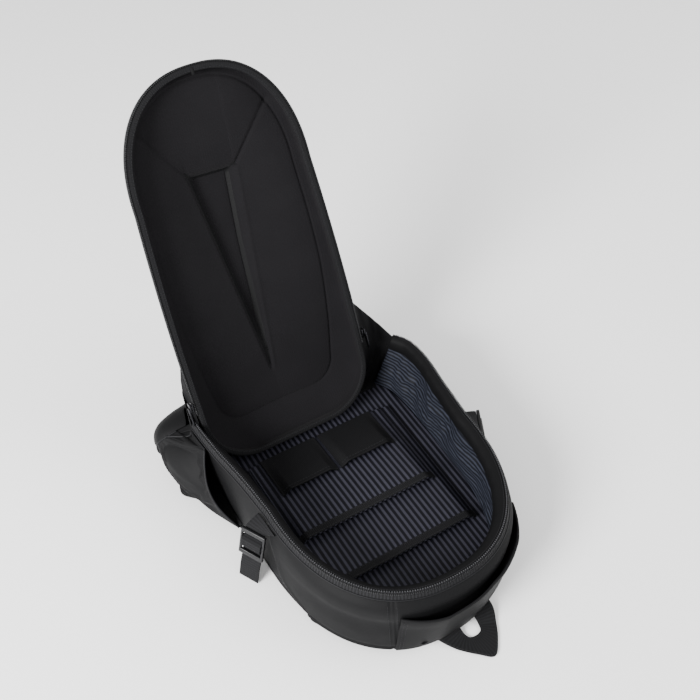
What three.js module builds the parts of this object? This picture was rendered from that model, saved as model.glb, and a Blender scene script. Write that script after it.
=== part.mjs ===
// Hard shell backpack lying on its back with the moulded front lid swung open.
// Millimetres. +Z is up, +Y runs from the bag's top end to its bottom end, +X is the wearer's left.
import * as THREE from 'three';
import { mergeVertices } from 'three/addons/utils/BufferGeometryUtils.js';

// Clearance between pieces that touch
const CLEAR = 0.35;

// Shoulder straps, folded flat under the back panel
const STRAP_THICK = 9;
const STRAP_HALF_WIDTH = 32;
const STRAP_REACH = 152;
const STRAP_TOP_Y = -150;
const STRAP_END_Y = 145;

// Back panel
const BACK_CENTRE_X = 8;
const BACK_HALF_WIDTH = 131;
const BACK_TOP_Y = -182;
const BACK_ARCH_DEPTH = 175;
const BACK_END_Y = 175;
const BACK_THICK = 8;

// Opening's rim, splayed to the right of the back panel
const RIM_CENTRE_X = 22;
const RIM_HALF_WIDTH = 139;
const RIM_TOP_Y = -170;
const RIM_ARCH_DEPTH = 170;
const ARCH_POWER = 2.3;

// Side wall of the body
const WALL_END_Y = 150;
const WALL_HEIGHT = 74;
const WALL_THICK = 3;
const TOP_END_SHARE = 1.6;
const TOP_END_FADE = 0.2;
const LINING_THICK = 1.5;
const LINING_DROP = 3;
const LINING_FOLD_DEPTH = 4;
const LINING_FOLDS = 11;
const LINING_SMOOTH_END = 0.14;
const LINING_FOLD_FADE = 0.125;
const ZIP_TAPE_WIDTH = 10;
const ZIP_TAPE_THICK = 2;
const ZIP_TAPE_LEAN = 4;

// Slip pockets on the back lining, each opening towards the bag's top end
const POCKET_THICK = 3;
const POCKET_HALF_WIDTH = 104;
const POCKET_STEP_IN = 14;
const POCKET_SLOPE = 12;
const POCKET_END_Y = 104;
const SLEEVE_MOUTH_Y = -86;
const TABLET_MOUTH_Y = -22;
const SMALL_MOUTH_Y = 44;
const SMALL_POCKET_GAP = 4;
const POCKET_GAPE = 8;
const HEM_WIDTH = 9;
const HEM_THICK = 1.2;

// Moulded lid
const LID_X = -8;
const LID_HINGE_Y = 118;
const LID_HINGE_RISE = 16;
const LID_TILT = THREE.MathUtils.degToRad(26.7);
const LID_LENGTH = 436;
const LID_HALF_BOTTOM = 104;
const LID_SIDE_BOW = 2.5;
const LID_HALF_TOP = 98;
const LID_ARCH_DEPTH = 126;
const LID_CORNER = 57;
const LID_THICK = 4;
const LID_DEPTH_BOTTOM = 36;
const LID_DEPTH_TOP = 27;
const LID_SKIRT = 10;
const WEDGE_TOP_V = 324;
const WEDGE_TIP_V = 62;
const WEDGE_HALF_WIDTH = 33;
const WEDGE_DEPTH = 5;
const CREASE_RISE = 6;
const CREASE_SLOPE = 1.3;
const CREASE_WIDTH = 60;
const LID_WALL_CURVE = 0.75;
const BINDING_WIDTH = 7;
const BINDING_THICK = 2.6;
const BINDING_PROUD = 1;
const LID_TAPE_WIDTH = 8;
const LID_TAPE_THICK = 1.6;
const LID_TAPE_START_V = 74;

// Rounded bottom end of the bag
const ROLL_CENTRE_X = -2;
const ROLL_HALF_LENGTH = 164;
const ROLL_CENTRE_Y = 175;
const ROLL_CENTRE_Z = 46;
const ROLL_RADIUS_Y = 38;
const ROLL_RADIUS_Z = 36.5;
const ROLL_POWER = 3.2;
const ROLL_THICK = 3;
const ROLL_OPEN_DEG = 110;
const ROLL_FOOT_DEG = -88;
const ROLL_STEP_WIDTH = 10;

// Side pockets
const SIDE_POCKET_THICK = 2;
const SIDE_MOUTH_LOW_Y = 48;
const SIDE_MOUTH_HIGH_Y = 116;
const SIDE_MOUTH_GAPE = 14;
const SIDE_POCKET_BULGE = 18;

// Cloth gussets and the hinge strip between lid and body
const GUSSET_THICK = 1.6;
const GUSSET_TOP_V = 130;
const GUSSET_END_Q = 1.2;
const GUSSET_FOOT = 0.14;
const GUSSET_SAG = 10;
const SEAM_DEPTH = 9;
const HINGE_THICK = 1.6;
const HINGE_HALF_WIDTH = 44;
const HINGE_RUN = 16;

// Carry handle, a coated band over the bag's top end
const HANDLE_START = 0.425;
const HANDLE_END = 0.668;
const HANDLE_HEIGHT = 55;
const HANDLE_THICK = 4;
const HANDLE_STANDOFF = 6;
const HANDLE_FOOT_STANDOFF = 1.5;
const HANDLE_LIFT = 4;
const HANDLE_SPRING = 1.5;

// Haul loop, flat webbing on the surface beyond the top end
const HAUL_START_X = -8;
const HAUL_SPAN = 76;
const HAUL_REACH = 44;
const HAUL_THICK = 2.4;

// Side compression straps with their ladder buckles
const WEB_WIDTH = 25;
const WEB_THICK = 1.6;
const LOWER_WEB_TUCK = 4;
const BUCKLE_WIDTH = 31;
const BUCKLE_HEIGHT = 36;
const BUCKLE_THICK = 4;
const BUCKLE_BAR = 5.5;
const BUCKLE_Y = -8;
const BUCKLE_TURN = THREE.MathUtils.degToRad(26);
const BUCKLE_SPLAY = 0.14;
const BUCKLE_DROP = 12;
const TAIL_LENGTH = 27;
const STRAP_SEAM_UP = 0.96;

// Zip sliders and pull tabs
const SLIDER_LENGTH = 11;
const SLIDER_WIDTH = 8;
const SLIDER_THICK = 4.5;
const PULL_LENGTH = 22;
const PULL_WIDTH = 6;
const PULL_THICK = 1.4;

// Mesh steps
const WALL_STEPS = 60;
const ARCH_PART = 0.56;
const GUSSET_STEPS = 8;

// Wall plan beyond the arch: half-widths to each side as shares of the back's and the rim's
const WALL_PLAN = [
  { along: 0, lowLeft: 0.99, lowRight: 0.99, rimLeft: 0.95, rimRight: 0.95 },
  { along: 0.35, lowLeft: 1, lowRight: 1, rimLeft: 0.99, rimRight: 0.985 },
  { along: 0.65, lowLeft: 1, lowRight: 0.99, rimLeft: 1.04, rimRight: 1.02 },
  { along: 0.86, lowLeft: 1, lowRight: 0.95, rimLeft: 1.065, rimRight: 1 },
  { along: 1, lowLeft: 0.99, lowRight: 0.86, rimLeft: 1.075, rimRight: 0.92 },
];

// Wall section: outward swell in mm at shares of its height; roll is the extra swell at the top end
const WALL_SECTION = [
  { up: 0, swell: 0, roll: 0 },
  { up: 0.3, swell: 2.5, roll: 0 },
  { up: 0.58, swell: 3, roll: 0 },
  { up: 0.72, swell: 2.5, roll: 3 },
  { up: 0.88, swell: 1.5, roll: 4 },
  { up: 1, swell: 0, roll: 0 },
];

// Shoulder strap plan: place along its length, reach from the centre line, half-width, as shares
const STRAP_PLAN = [
  { along: 0, reach: 0.23, width: 0.9 },
  { along: 0.2, reach: 0.28, width: 1 },
  { along: 0.44, reach: 0.43, width: 1 },
  { along: 0.68, reach: 0.69, width: 0.9 },
  { along: 0.88, reach: 0.91, width: 0.7 },
  { along: 1, reach: 1, width: 0.5 },
];

// Width of the lid's sloping wall between its rim and its floor, at places up the lid
const LID_WALL = [
  { v: 0, width: 31 },
  { v: 45, width: 27 },
  { v: 110, width: 20 },
  { v: 190, width: 11 },
  { v: 300, width: 8 },
  { v: 441, width: 8 },
];

// Rows of the lid's face: shares of the wall's width from rim to floor, then of the way to the lid's middle
const LID_WALL_ROWS = [0, 0.08, 0.25, 0.5, 0.75, 1];
const LID_FLOOR_ROWS = [0.12, 0.27, 0.42, 0.57, 0.72, 0.87, 1];

// Haul loop: inner and outer edge as shares of its span and reach, and how far it has dropped
const HAUL_PLAN = [
  { inX: 0.38, inY: -0.36, outX: 0, outY: -0.36, drop: 0 },
  { inX: 0.4, inY: -0.05, outX: 0.03, outY: -0.02, drop: 0.35 },
  { inX: 0.42, inY: 0.18, outX: 0.2, outY: 0.4, drop: 1 },
  { inX: 0.46, inY: 0.31, outX: 0.42, outY: 0.78, drop: 1 },
  { inX: 0.55, inY: 0.34, outX: 0.6, outY: 1, drop: 1 },
  { inX: 0.64, inY: 0.29, outX: 0.78, outY: 0.68, drop: 1 },
  { inX: 0.67, inY: 0.16, outX: 0.9, outY: 0.34, drop: 1 },
  { inX: 0.67, inY: -0.05, outX: 0.99, outY: -0.02, drop: 0.35 },
  { inX: 0.66, inY: -0.36, outX: 1, outY: -0.36, drop: 0 },
];

// Heights that follow from the thicknesses
const backLow = STRAP_THICK + CLEAR;
const backHigh = backLow + BACK_THICK;
const liningLow = backHigh + CLEAR;
const liningHigh = liningLow + LINING_THICK;
const rimHigh = backLow + WALL_HEIGHT;
const hingeZ = liningHigh + LID_HINGE_RISE;

// Materials
const cloth = (color, roughness) => new THREE.MeshStandardMaterial({ color, roughness, metalness: 0 });
const coatedFabric = () => cloth(0x3b3b3e, 0.62);
const shellLining = () => cloth(0x201f21, 0.75);
const stripedLining = () => cloth(0x3a3a48, 0.7);
const blackWebbing = () => cloth(0x19191b, 0.85);
const meshPadding = () => cloth(0x1d1d1f, 0.95);
const zipTape = () => cloth(0x151516, 0.8);
const bucklePlastic = () => cloth(0x1b1b1c, 0.45);
const sliderMetal = () =>
  new THREE.MeshStandardMaterial({ color: 0x2a2a2c, roughness: 0.35, metalness: 0.9 });

// Smooth value from a table: `key` at place `x` of column `by`
function fromTable(table, by, key, x) {
  let i = 0;
  while (i < table.length - 2 && x > table[i + 1][by]) i += 1;
  const row = (n) => table[Math.min(Math.max(n, 0), table.length - 1)];
  const [p, q, r, s] = [row(i - 1), row(i), row(i + 1), row(i + 2)];
  const span = r[by] - q[by];
  const f = (x - q[by]) / span;
  const slopeAt = (a, b) => (b[by] === a[by] ? 0 : ((b[key] - a[key]) / (b[by] - a[by])) * span);
  const m0 = slopeAt(p, r);
  const m1 = slopeAt(q, s);
  const f2 = f * f;
  const f3 = f2 * f;
  return q[key] * (2 * f3 - 3 * f2 + 1) + m0 * (f3 - 2 * f2 + f) + r[key] * (3 * f2 - 2 * f3) + m1 * (f3 - f2);
}

const mix = (a, b, f) => a + (b - a) * f;
const ease = (x) => {
  const f = Math.min(Math.max(x, 0), 1);
  return f * f * (3 - 2 * f);
};

// Closed geometry from triangles over a point list, with its faces pointing out
function solidFrom(points, faces) {
  let geometry = new THREE.BufferGeometry();
  geometry.setAttribute('position', new THREE.Float32BufferAttribute(points.flatMap((p) => [p.x, p.y, p.z]), 3));
  geometry.setIndex(faces.flat());
  geometry = mergeVertices(geometry, 1e-4);
  const index = geometry.getIndex().array;
  const at = (i) => new THREE.Vector3().fromBufferAttribute(geometry.getAttribute('position'), i);
  const kept = [];
  let volume = 0;
  for (let i = 0; i < index.length; i += 3) {
    const [a, b, c] = [index[i], index[i + 1], index[i + 2]];
    if (a === b || b === c || c === a) continue;
    kept.push([a, b, c]);
    volume += at(a).dot(at(b).cross(at(c)));
  }
  geometry.setIndex((volume < 0 ? kept.map(([a, b, c]) => [a, c, b]) : kept).flat());
  geometry.computeVertexNormals();
  return geometry;
}

// Wall between two grids of points; wrap closes it along its rows, and sealEnd is off where it collapses
function slab(front, back, { wrap = false, sealEnd = true } = {}) {
  const rows = front.length;
  const columns = front[0].length;
  const points = [...front.flat(), ...back.flat()];
  const at = (side, i, j) => side * rows * columns + (i % rows) * columns + j;
  const faces = [];
  const quad = (a, b, c, d) => faces.push([a, b, c], [a, c, d]);
  const lastRow = wrap ? rows : rows - 1;
  for (let i = 0; i < lastRow; i += 1) {
    for (let j = 0; j < columns - 1; j += 1) {
      quad(at(0, i, j), at(0, i + 1, j), at(0, i + 1, j + 1), at(0, i, j + 1));
      quad(at(1, i, j), at(1, i, j + 1), at(1, i + 1, j + 1), at(1, i + 1, j));
    }
    quad(at(0, i, 0), at(1, i, 0), at(1, i + 1, 0), at(0, i + 1, 0));
    const j = columns - 1;
    if (sealEnd) quad(at(0, i, j), at(0, i + 1, j), at(1, i + 1, j), at(1, i, j));
  }
  if (!wrap) {
    for (let j = 0; j < columns - 1; j += 1) {
      const i = rows - 1;
      quad(at(0, 0, j), at(0, 0, j + 1), at(1, 0, j + 1), at(1, 0, j));
      quad(at(0, i, j), at(1, i, j), at(1, i, j + 1), at(0, i, j + 1));
    }
  }
  return solidFrom(points, faces);
}

const range = (n, make) => Array.from({ length: n + 1 }, (_, i) => make(i / n, i));

// Grid of points moved along the surface's own normals by `distance`
function offsetGrid(grid, distance) {
  const rows = grid.length;
  const columns = grid[0].length;
  return grid.map((line, i) =>
    line.map((point, j) => {
      const along = grid[Math.min(i + 1, rows - 1)][j].clone().sub(grid[Math.max(i - 1, 0)][j]);
      const across = line[Math.min(j + 1, columns - 1)].clone().sub(line[Math.max(j - 1, 0)]);
      return point.clone().addScaledVector(along.cross(across).normalize(), distance);
    }),
  );
}

function piece(name, geometry, material) {
  const mesh = new THREE.Mesh(geometry, material);
  mesh.name = name;
  return mesh;
}

// Plan outlines of the body: t runs 0 to 1 from the left wall's free end round the top to the right one's
const backPlan = {
  columns: ['lowLeft', 'lowRight'],
  centre: BACK_CENTRE_X,
  half: BACK_HALF_WIDTH,
  topY: BACK_TOP_Y,
  depth: BACK_ARCH_DEPTH,
};
const rimPlan = {
  columns: ['rimLeft', 'rimRight'],
  centre: RIM_CENTRE_X,
  half: RIM_HALF_WIDTH,
  topY: RIM_TOP_Y,
  depth: RIM_ARCH_DEPTH,
};

function planPoint(plan, t) {
  const side = t < 0.5 ? -1 : 1;
  const from = Math.abs(t - 0.5) * 2;
  const column = plan.columns[side < 0 ? 0 : 1];
  const archHalf = plan.half * WALL_PLAN[0][column];
  if (from <= ARCH_PART) {
    const angle = (from / ARCH_PART) * (Math.PI / 2);
    const x = archHalf * Math.sin(angle) ** (2 / ARCH_POWER);
    const y = plan.topY + plan.depth * (1 - Math.max(Math.cos(angle), 0) ** (2 / ARCH_POWER));
    return new THREE.Vector2(plan.centre + side * x, y);
  }
  const along = (from - ARCH_PART) / (1 - ARCH_PART);
  const half = plan.half * fromTable(WALL_PLAN, 'along', column, along);
  return new THREE.Vector2(plan.centre + side * half, mix(plan.topY + plan.depth, WALL_END_Y, along));
}

function planNormal(plan, t) {
  const step = 0.006;
  const ahead = planPoint(plan, Math.min(t + step, 1));
  const behind = planPoint(plan, Math.max(t - step, 0));
  return new THREE.Vector2(ahead.y - behind.y, behind.x - ahead.x).normalize();
}

// Point of the wall's outer face, `out` mm outside it
function wallPoint(t, up, out = 0) {
  const low = planPoint(backPlan, t);
  const high = planPoint(rimPlan, t);
  const normal = planNormal(backPlan, t).lerp(planNormal(rimPlan, t), up).normalize();
  const topEnd = ease(TOP_END_SHARE - Math.abs(t - 0.5) / TOP_END_FADE);
  const swell = fromTable(WALL_SECTION, 'up', 'swell', up) + topEnd * fromTable(WALL_SECTION, 'up', 'roll', up);
  const base = low.lerp(high, up).addScaledVector(normal, swell + out);
  return new THREE.Vector3(base.x, base.y, backLow + up * WALL_HEIGHT);
}

// How far the wall has leaned inwards at its rim, against its foot
function wallLean(t) {
  const lean = planPoint(backPlan, t).sub(planPoint(rimPlan, t));
  return Math.max(lean.dot(planNormal(backPlan, t)), 0);
}

// Place on the outline where a side wall passes y
function tAtY(side, y) {
  const start = BACK_TOP_Y + BACK_ARCH_DEPTH;
  const from = ARCH_PART + (1 - ARCH_PART) * ((y - start) / (WALL_END_Y - start));
  return 0.5 + (side * from) / 2;
}

function bodyWall() {
  const face = (out) => range(WALL_STEPS, (t) => WALL_SECTION.map((row) => wallPoint(t, row.up, out)));
  return piece('body_wall', slab(face(0), face(-WALL_THICK)), coatedFabric());
}

function bodyZipTape() {
  const up = [0, 0.55, 1];
  const face = (out) =>
    range(WALL_STEPS, (t) =>
      up.map((share) => {
        const point = wallPoint(t, 1, out - share * share * ZIP_TAPE_LEAN);
        return point.setZ(rimHigh + CLEAR + share * ZIP_TAPE_WIDTH);
      }),
    );
  return piece('body_zip_tape', slab(face(0), face(-ZIP_TAPE_THICK)), zipTape());
}

function liningWall() {
  const outside = -(WALL_THICK + CLEAR);
  const bottom = (liningHigh + CLEAR - backLow) / WALL_HEIGHT;
  const top = 1 - LINING_DROP / WALL_HEIGHT;
  const rows = [0, 0.25, 0.5, 0.75, 1];
  const face = (out) =>
    range(WALL_STEPS, (t) =>
      rows.map((share) => {
        const side = ease((Math.abs(t - 0.5) - LINING_SMOOTH_END) / LINING_FOLD_FADE);
        const fold = side * Math.sin(Math.PI * share) * (0.5 - 0.5 * Math.cos(2 * Math.PI * LINING_FOLDS * t));
        return wallPoint(t, mix(bottom, top, share), outside - fold * LINING_FOLD_DEPTH - out);
      }),
    );
  return piece('lining_wall', slab(face(0), face(LINING_THICK)), stripedLining());
}

// Flat panel inside the wall at `low` to `high`, with rounded corners at the bag's bottom end
function flatPanel(name, inset, low, high, endY, material) {
  const outline = range(WALL_STEPS, (t) => {
    const leaned = (wallLean(t) * (high - backLow)) / WALL_HEIGHT;
    return planPoint(backPlan, t).addScaledVector(planNormal(backPlan, t), -inset - leaned);
  });
  const corner = endY - WALL_END_Y - CLEAR;
  const left = outline[0];
  const right = outline[outline.length - 1];
  const arc = (centreX, fromDeg) =>
    range(5, (f) => {
      const angle = THREE.MathUtils.degToRad(fromDeg + 90 * f);
      return new THREE.Vector2(centreX + corner * Math.cos(angle), endY - corner + corner * Math.sin(angle));
    });
  const shape = new THREE.Shape([...outline, ...arc(right.x - corner, 0), ...arc(left.x + corner, 90)]);
  const geometry = new THREE.ExtrudeGeometry(shape, { depth: high - low, bevelEnabled: false });
  const mesh = piece(name, geometry, material);
  mesh.position.z = low;
  return mesh;
}

const backPanel = () =>
  flatPanel('back_panel', WALL_THICK + CLEAR, backLow, backHigh, BACK_END_Y, meshPadding());

const liningFloor = () =>
  flatPanel(
    'lining_floor',
    WALL_THICK + LINING_THICK + 2 * CLEAR,
    liningLow,
    liningHigh,
    BACK_END_Y - WALL_THICK,
    stripedLining(),
  );

// Slip pockets: a sheet that stands open at its mouth and lies down at its sides and far end
const sleeveBase = liningHigh + CLEAR;
const tabletBase = sleeveBase + POCKET_THICK + CLEAR;
const smallBase = tabletBase + POCKET_THICK + CLEAR;

// Height that a pocket's sheet has risen at y, over what is under it
const gapeAt = (mouthY, y) => POCKET_GAPE * Math.max(1 - (y - mouthY) / (POCKET_END_Y - mouthY), 0);

const pocketRise = {
  sleeve: (y) => gapeAt(SLEEVE_MOUTH_Y, y),
  tablet: (y) => pocketRise.sleeve(y) + gapeAt(TABLET_MOUTH_Y, y),
  small: (y) => pocketRise.tablet(y) + gapeAt(SMALL_MOUTH_Y, y),
};

function pocketSheet({ left, right, mouthY, base, low, high }, lift, thick, fromY, toY) {
  const across = [left, left + POCKET_SLOPE, right - POCKET_SLOPE, right];
  const stops = [mouthY, mouthY + HEM_WIDTH, TABLET_MOUTH_Y, SMALL_MOUTH_Y, fromY, toY];
  const along = [...new Set(stops)].filter((y) => y >= fromY && y <= toY).sort((a, b) => a - b);
  const face = (extra) =>
    along.map((y) =>
      across.map((x, i) => {
        const rise = i === 0 || i === across.length - 1 ? low(y) : high(y);
        return new THREE.Vector3(x, y, base + lift + rise + extra);
      }),
    );
  return slab(face(thick), face(0));
}

const sleeve = {
  left: BACK_CENTRE_X - POCKET_HALF_WIDTH,
  right: BACK_CENTRE_X + POCKET_HALF_WIDTH,
  mouthY: SLEEVE_MOUTH_Y,
  base: sleeveBase,
  low: () => 0,
  high: pocketRise.sleeve,
};
const tablet = {
  left: sleeve.left + POCKET_STEP_IN,
  right: sleeve.right - POCKET_STEP_IN,
  mouthY: TABLET_MOUTH_Y,
  base: tabletBase,
  low: pocketRise.sleeve,
  high: pocketRise.tablet,
};
const phone = {
  left: tablet.left + POCKET_STEP_IN,
  right: BACK_CENTRE_X - SMALL_POCKET_GAP / 2,
  mouthY: SMALL_MOUTH_Y,
  base: smallBase,
  low: pocketRise.tablet,
  high: pocketRise.small,
};
const notebook = { ...phone, left: BACK_CENTRE_X + SMALL_POCKET_GAP / 2, right: tablet.right - POCKET_STEP_IN };

function slipPocket(name, pocket, material) {
  return piece(name, pocketSheet(pocket, 0, POCKET_THICK, pocket.mouthY, POCKET_END_Y), material);
}

function pocketHem(name, pocket) {
  const lift = POCKET_THICK + CLEAR;
  return piece(name, pocketSheet(pocket, lift, HEM_THICK, pocket.mouthY, pocket.mouthY + HEM_WIDTH), blackWebbing());
}

// Lid rim outline in its own plane: q runs 0 to 4 from the middle of the hinge edge to the top's apex
function lidRim(q, side, out, w) {
  const straight = LID_HALF_BOTTOM - LID_CORNER;
  const archV = LID_LENGTH - LID_ARCH_DEPTH;
  const halfAt = (v) => {
    const f = (v - LID_CORNER) / (archV - LID_CORNER);
    return mix(LID_HALF_BOTTOM, LID_HALF_TOP, f) + LID_SIDE_BOW * 4 * f * (1 - f);
  };
  const place = (p) => {
    if (p <= 1) return new THREE.Vector2(straight * p, 0);
    if (p <= 2) {
      const angle = (p - 1) * (Math.PI / 2);
      const x = straight + LID_CORNER * Math.sin(angle);
      return new THREE.Vector2(x, LID_CORNER * (1 - Math.cos(angle)));
    }
    if (p <= 3) {
      const v = mix(LID_CORNER, archV, p - 2);
      return new THREE.Vector2(halfAt(v), v);
    }
    const angle = Math.min(p - 3, 1) * (Math.PI / 2);
    const x = LID_HALF_TOP * Math.max(Math.cos(angle), 0) ** (2 / ARCH_POWER);
    return new THREE.Vector2(x, archV + LID_ARCH_DEPTH * Math.sin(angle) ** (2 / ARCH_POWER));
  };
  const step = 0.02;
  const ahead = q + step > 4 ? place(8 - q - step).multiply(new THREE.Vector2(-1, 1)) : place(q + step);
  const behind = q < step ? place(step - q).multiply(new THREE.Vector2(-1, 1)) : place(q - step);
  const normal = new THREE.Vector2(ahead.y - behind.y, behind.x - ahead.x).normalize();
  const point = place(q).addScaledVector(normal, out);
  return new THREE.Vector3(side * point.x, w, point.y);
}

// Steps round half of the rim, closer together where it curves
const LID_STEPS = [
  ...range(2, (f) => f),
  ...range(6, (f) => 1 + f).slice(1),
  ...range(8, (f) => 2 + f).slice(1),
  ...range(12, (f) => 3 + f).slice(1),
];
const lidLoop = (make) => [
  ...LID_STEPS.map((q) => make(q, 1)),
  ...LID_STEPS.slice(1, -1).reverse().map((q) => make(q, -1)),
];

// Relief of the lid's moulded face: a recessed wedge and the creases that run from its head to the rim
function lidRelief(u, v) {
  const f = (v - WEDGE_TIP_V) / (WEDGE_TOP_V - WEDGE_TIP_V);
  const inside = Math.min(WEDGE_HALF_WIDTH * f - Math.abs(u), WEDGE_TOP_V - v);
  const wedge = WEDGE_DEPTH * ease(inside / WEDGE_DEPTH);
  const creaseV = WEDGE_TOP_V + Math.max(Math.abs(u) - WEDGE_HALF_WIDTH, 0) * CREASE_SLOPE;
  return wedge - CREASE_RISE * ease((v - creaseV) / CREASE_WIDTH);
}

// Point of the lid's face on the way from the rim inwards: down the sloping wall, then over the floor
function lidWallPoint(q, side, share, thick) {
  const rim = lidRim(q, side, 0, 0);
  const width = fromTable(LID_WALL, 'v', 'width', rim.z);
  const floor = mix(LID_DEPTH_BOTTOM, LID_DEPTH_TOP, rim.z / LID_LENGTH);
  const fall = floor - LID_SKIRT;
  const steep = fall * LID_WALL_CURVE * Math.max(share, LID_WALL_ROWS[1]) ** (LID_WALL_CURVE - 1);
  const out = share === 0 ? 1 : steep / Math.hypot(steep, width);
  const point = lidRim(q, side, thick * out - width * share, 0);
  point.y = LID_SKIRT + fall * share ** LID_WALL_CURVE + thick * Math.sqrt(1 - out * out);
  return point;
}

function lidFloorPoint(q, side, share, thick) {
  const edge = lidWallPoint(q, side, 1, 0);
  const axis = new THREE.Vector3(0, 0, Math.min(Math.max(edge.z, LID_HALF_BOTTOM), LID_LENGTH - LID_ARCH_DEPTH));
  const point = edge.lerp(axis, share);
  const depth = mix(LID_DEPTH_BOTTOM, LID_DEPTH_TOP, point.z / LID_LENGTH);
  point.y = depth + lidRelief(point.x, point.z) + thick;
  return point;
}

function lidShell() {
  const face = (thick) =>
    lidLoop((q, side) => [
      lidRim(q, side, thick, 0),
      ...LID_WALL_ROWS.map((share) => lidWallPoint(q, side, share, thick)),
      ...LID_FLOOR_ROWS.map((share) => lidFloorPoint(q, side, share, thick)),
    ]);
  return piece('lid_shell', slab(face(0), face(LID_THICK), { wrap: true, sealEnd: false }), shellLining());
}

function lidBinding() {
  const edges = [LID_THICK + BINDING_PROUD, LID_THICK + BINDING_PROUD - BINDING_WIDTH];
  const face = (w) => lidLoop((q, side) => edges.map((out) => lidRim(q, side, out, w)));
  return piece('lid_binding', slab(face(-CLEAR), face(-CLEAR - BINDING_THICK), { wrap: true }), blackWebbing());
}

// Place on the rim's long side where it passes v
const qAtV = (v) => 2 + (v - LID_CORNER) / (LID_LENGTH - LID_ARCH_DEPTH - LID_CORNER);

function lidZipTape() {
  const start = qAtV(LID_TAPE_START_V);
  const half = [start, ...LID_STEPS.filter((q) => q > start + 0.05)];
  const places = [...half.map((q) => [q, 1]), ...half.slice(0, -1).reverse().map((q) => [q, -1])];
  const inner = LID_THICK + CLEAR + BINDING_PROUD;
  const widths = [LID_TAPE_WIDTH - BINDING_THICK, -BINDING_THICK];
  const face = (out) => places.map(([q, side]) => widths.map((w) => lidRim(q, side, inner + out, w)));
  return piece('lid_zip_tape', slab(face(LID_TAPE_THICK), face(0)), zipTape());
}

// Lid plane to the bag's frame
function lidToBag(point) {
  const s = Math.sin(LID_TILT);
  const c = Math.cos(LID_TILT);
  return new THREE.Vector3(
    LID_X + point.x,
    LID_HINGE_Y + point.z * s + point.y * c,
    hingeZ + point.z * c - point.y * s,
  );
}

// Rounded bottom end: half-roll across the bag with domed ends, open towards the compartment
function rollPoint(turn, deg, inset) {
  const lengthShare = Math.sign(turn) * Math.abs(Math.sin(turn)) ** (2 / ROLL_POWER);
  const scale = Math.max(Math.cos(turn), 0) ** (2 / ROLL_POWER);
  const angle = THREE.MathUtils.degToRad(deg);
  return new THREE.Vector3(
    ROLL_CENTRE_X + (ROLL_HALF_LENGTH - inset) * lengthShare,
    ROLL_CENTRE_Y + (ROLL_RADIUS_Y - inset) * scale * Math.cos(angle),
    ROLL_CENTRE_Z + (ROLL_RADIUS_Z - inset) * scale * Math.sin(angle),
  );
}

const rollTurnAt = (x) => {
  const share = Math.min(Math.abs(x - ROLL_CENTRE_X) / ROLL_HALF_LENGTH, 1);
  return Math.sign(x - ROLL_CENTRE_X) * Math.asin(share ** (ROLL_POWER / 2));
};

// Angle where the roll's upper edge stops: at the lid's back between the lid's sides, full beside them
function rollTopDeg(x) {
  const lidHalf = LID_HALF_BOTTOM + 2 * LID_THICK;
  const behind = 1 - ease((Math.abs(x - LID_X) - lidHalf) / ROLL_STEP_WIDTH);
  return mix(ROLL_OPEN_DEG, lidContactDeg(), behind);
}

// Angle at which the roll's inner face meets the back of the lid
function lidContactDeg() {
  for (let deg = ROLL_OPEN_DEG; deg > 0; deg -= 0.5) {
    const point = rollPoint(0, deg, ROLL_THICK);
    const reach = (point.y - LID_HINGE_Y) * Math.cos(LID_TILT) - (point.z - hingeZ) * Math.sin(LID_TILT);
    if (reach > LID_DEPTH_BOTTOM + LID_THICK + WEDGE_DEPTH + 2 * CLEAR) return deg;
  }
  return 0;
}

function baseCover() {
  const lengthSteps = 30;
  const aroundSteps = 9;
  const face = (inset) =>
    range(lengthSteps, (f) => {
      const turn = (f - 0.5) * Math.PI;
      const x = rollPoint(turn, 0, 0).x;
      return range(aroundSteps, (g) => rollPoint(turn, mix(ROLL_FOOT_DEG, rollTopDeg(x), g), inset));
    });
  return piece('base_cover', slab(face(0), face(ROLL_THICK)), coatedFabric());
}

// Side pocket: a cloth lofted from its slanted mouth on the wall to the open edge of the domed end
function sidePocketGrid(side, out) {
  const up = range(10, (f) => f);
  const mouth = up.map((f) => {
    const y = mix(SIDE_MOUTH_LOW_Y, SIDE_MOUTH_HIGH_Y, f);
    const gape = SIDE_MOUTH_GAPE * Math.sin(Math.PI * f);
    return wallPoint(tAtY(side, y), f * 0.96, 2 * CLEAR + gape + out);
  });
  const wallEndX = planPoint(rimPlan, side < 0 ? 0 : 1).x;
  const highTurn = rollTurnAt(wallEndX + side * SIDE_MOUTH_GAPE);
  const lowTurn = rollTurnAt(ROLL_CENTRE_X + side * ROLL_HALF_LENGTH * 0.8);
  const edge = up.map((f) => {
    const upper = f > 0.5;
    const turn = mix((side * Math.PI) / 2, upper ? highTurn : lowTurn, Math.abs(2 * f - 1));
    const point = rollPoint(turn, upper ? ROLL_OPEN_DEG : ROLL_FOOT_DEG, SIDE_POCKET_THICK - out);
    point.y -= 2 * CLEAR;
    return point;
  });
  return range(8, (g) =>
    up.map((f, i) => {
      const point = mouth[i].clone().lerp(edge[i], g);
      const fullness = Math.sin(Math.PI * g) * (1 - f) ** 0.5;
      point.x += side * SIDE_POCKET_BULGE * fullness;
      return point;
    }),
  );
}

function sidePocket(name, side) {
  return piece(name, slab(sidePocketGrid(side, SIDE_POCKET_THICK), sidePocketGrid(side, 0)), coatedFabric());
}

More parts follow.
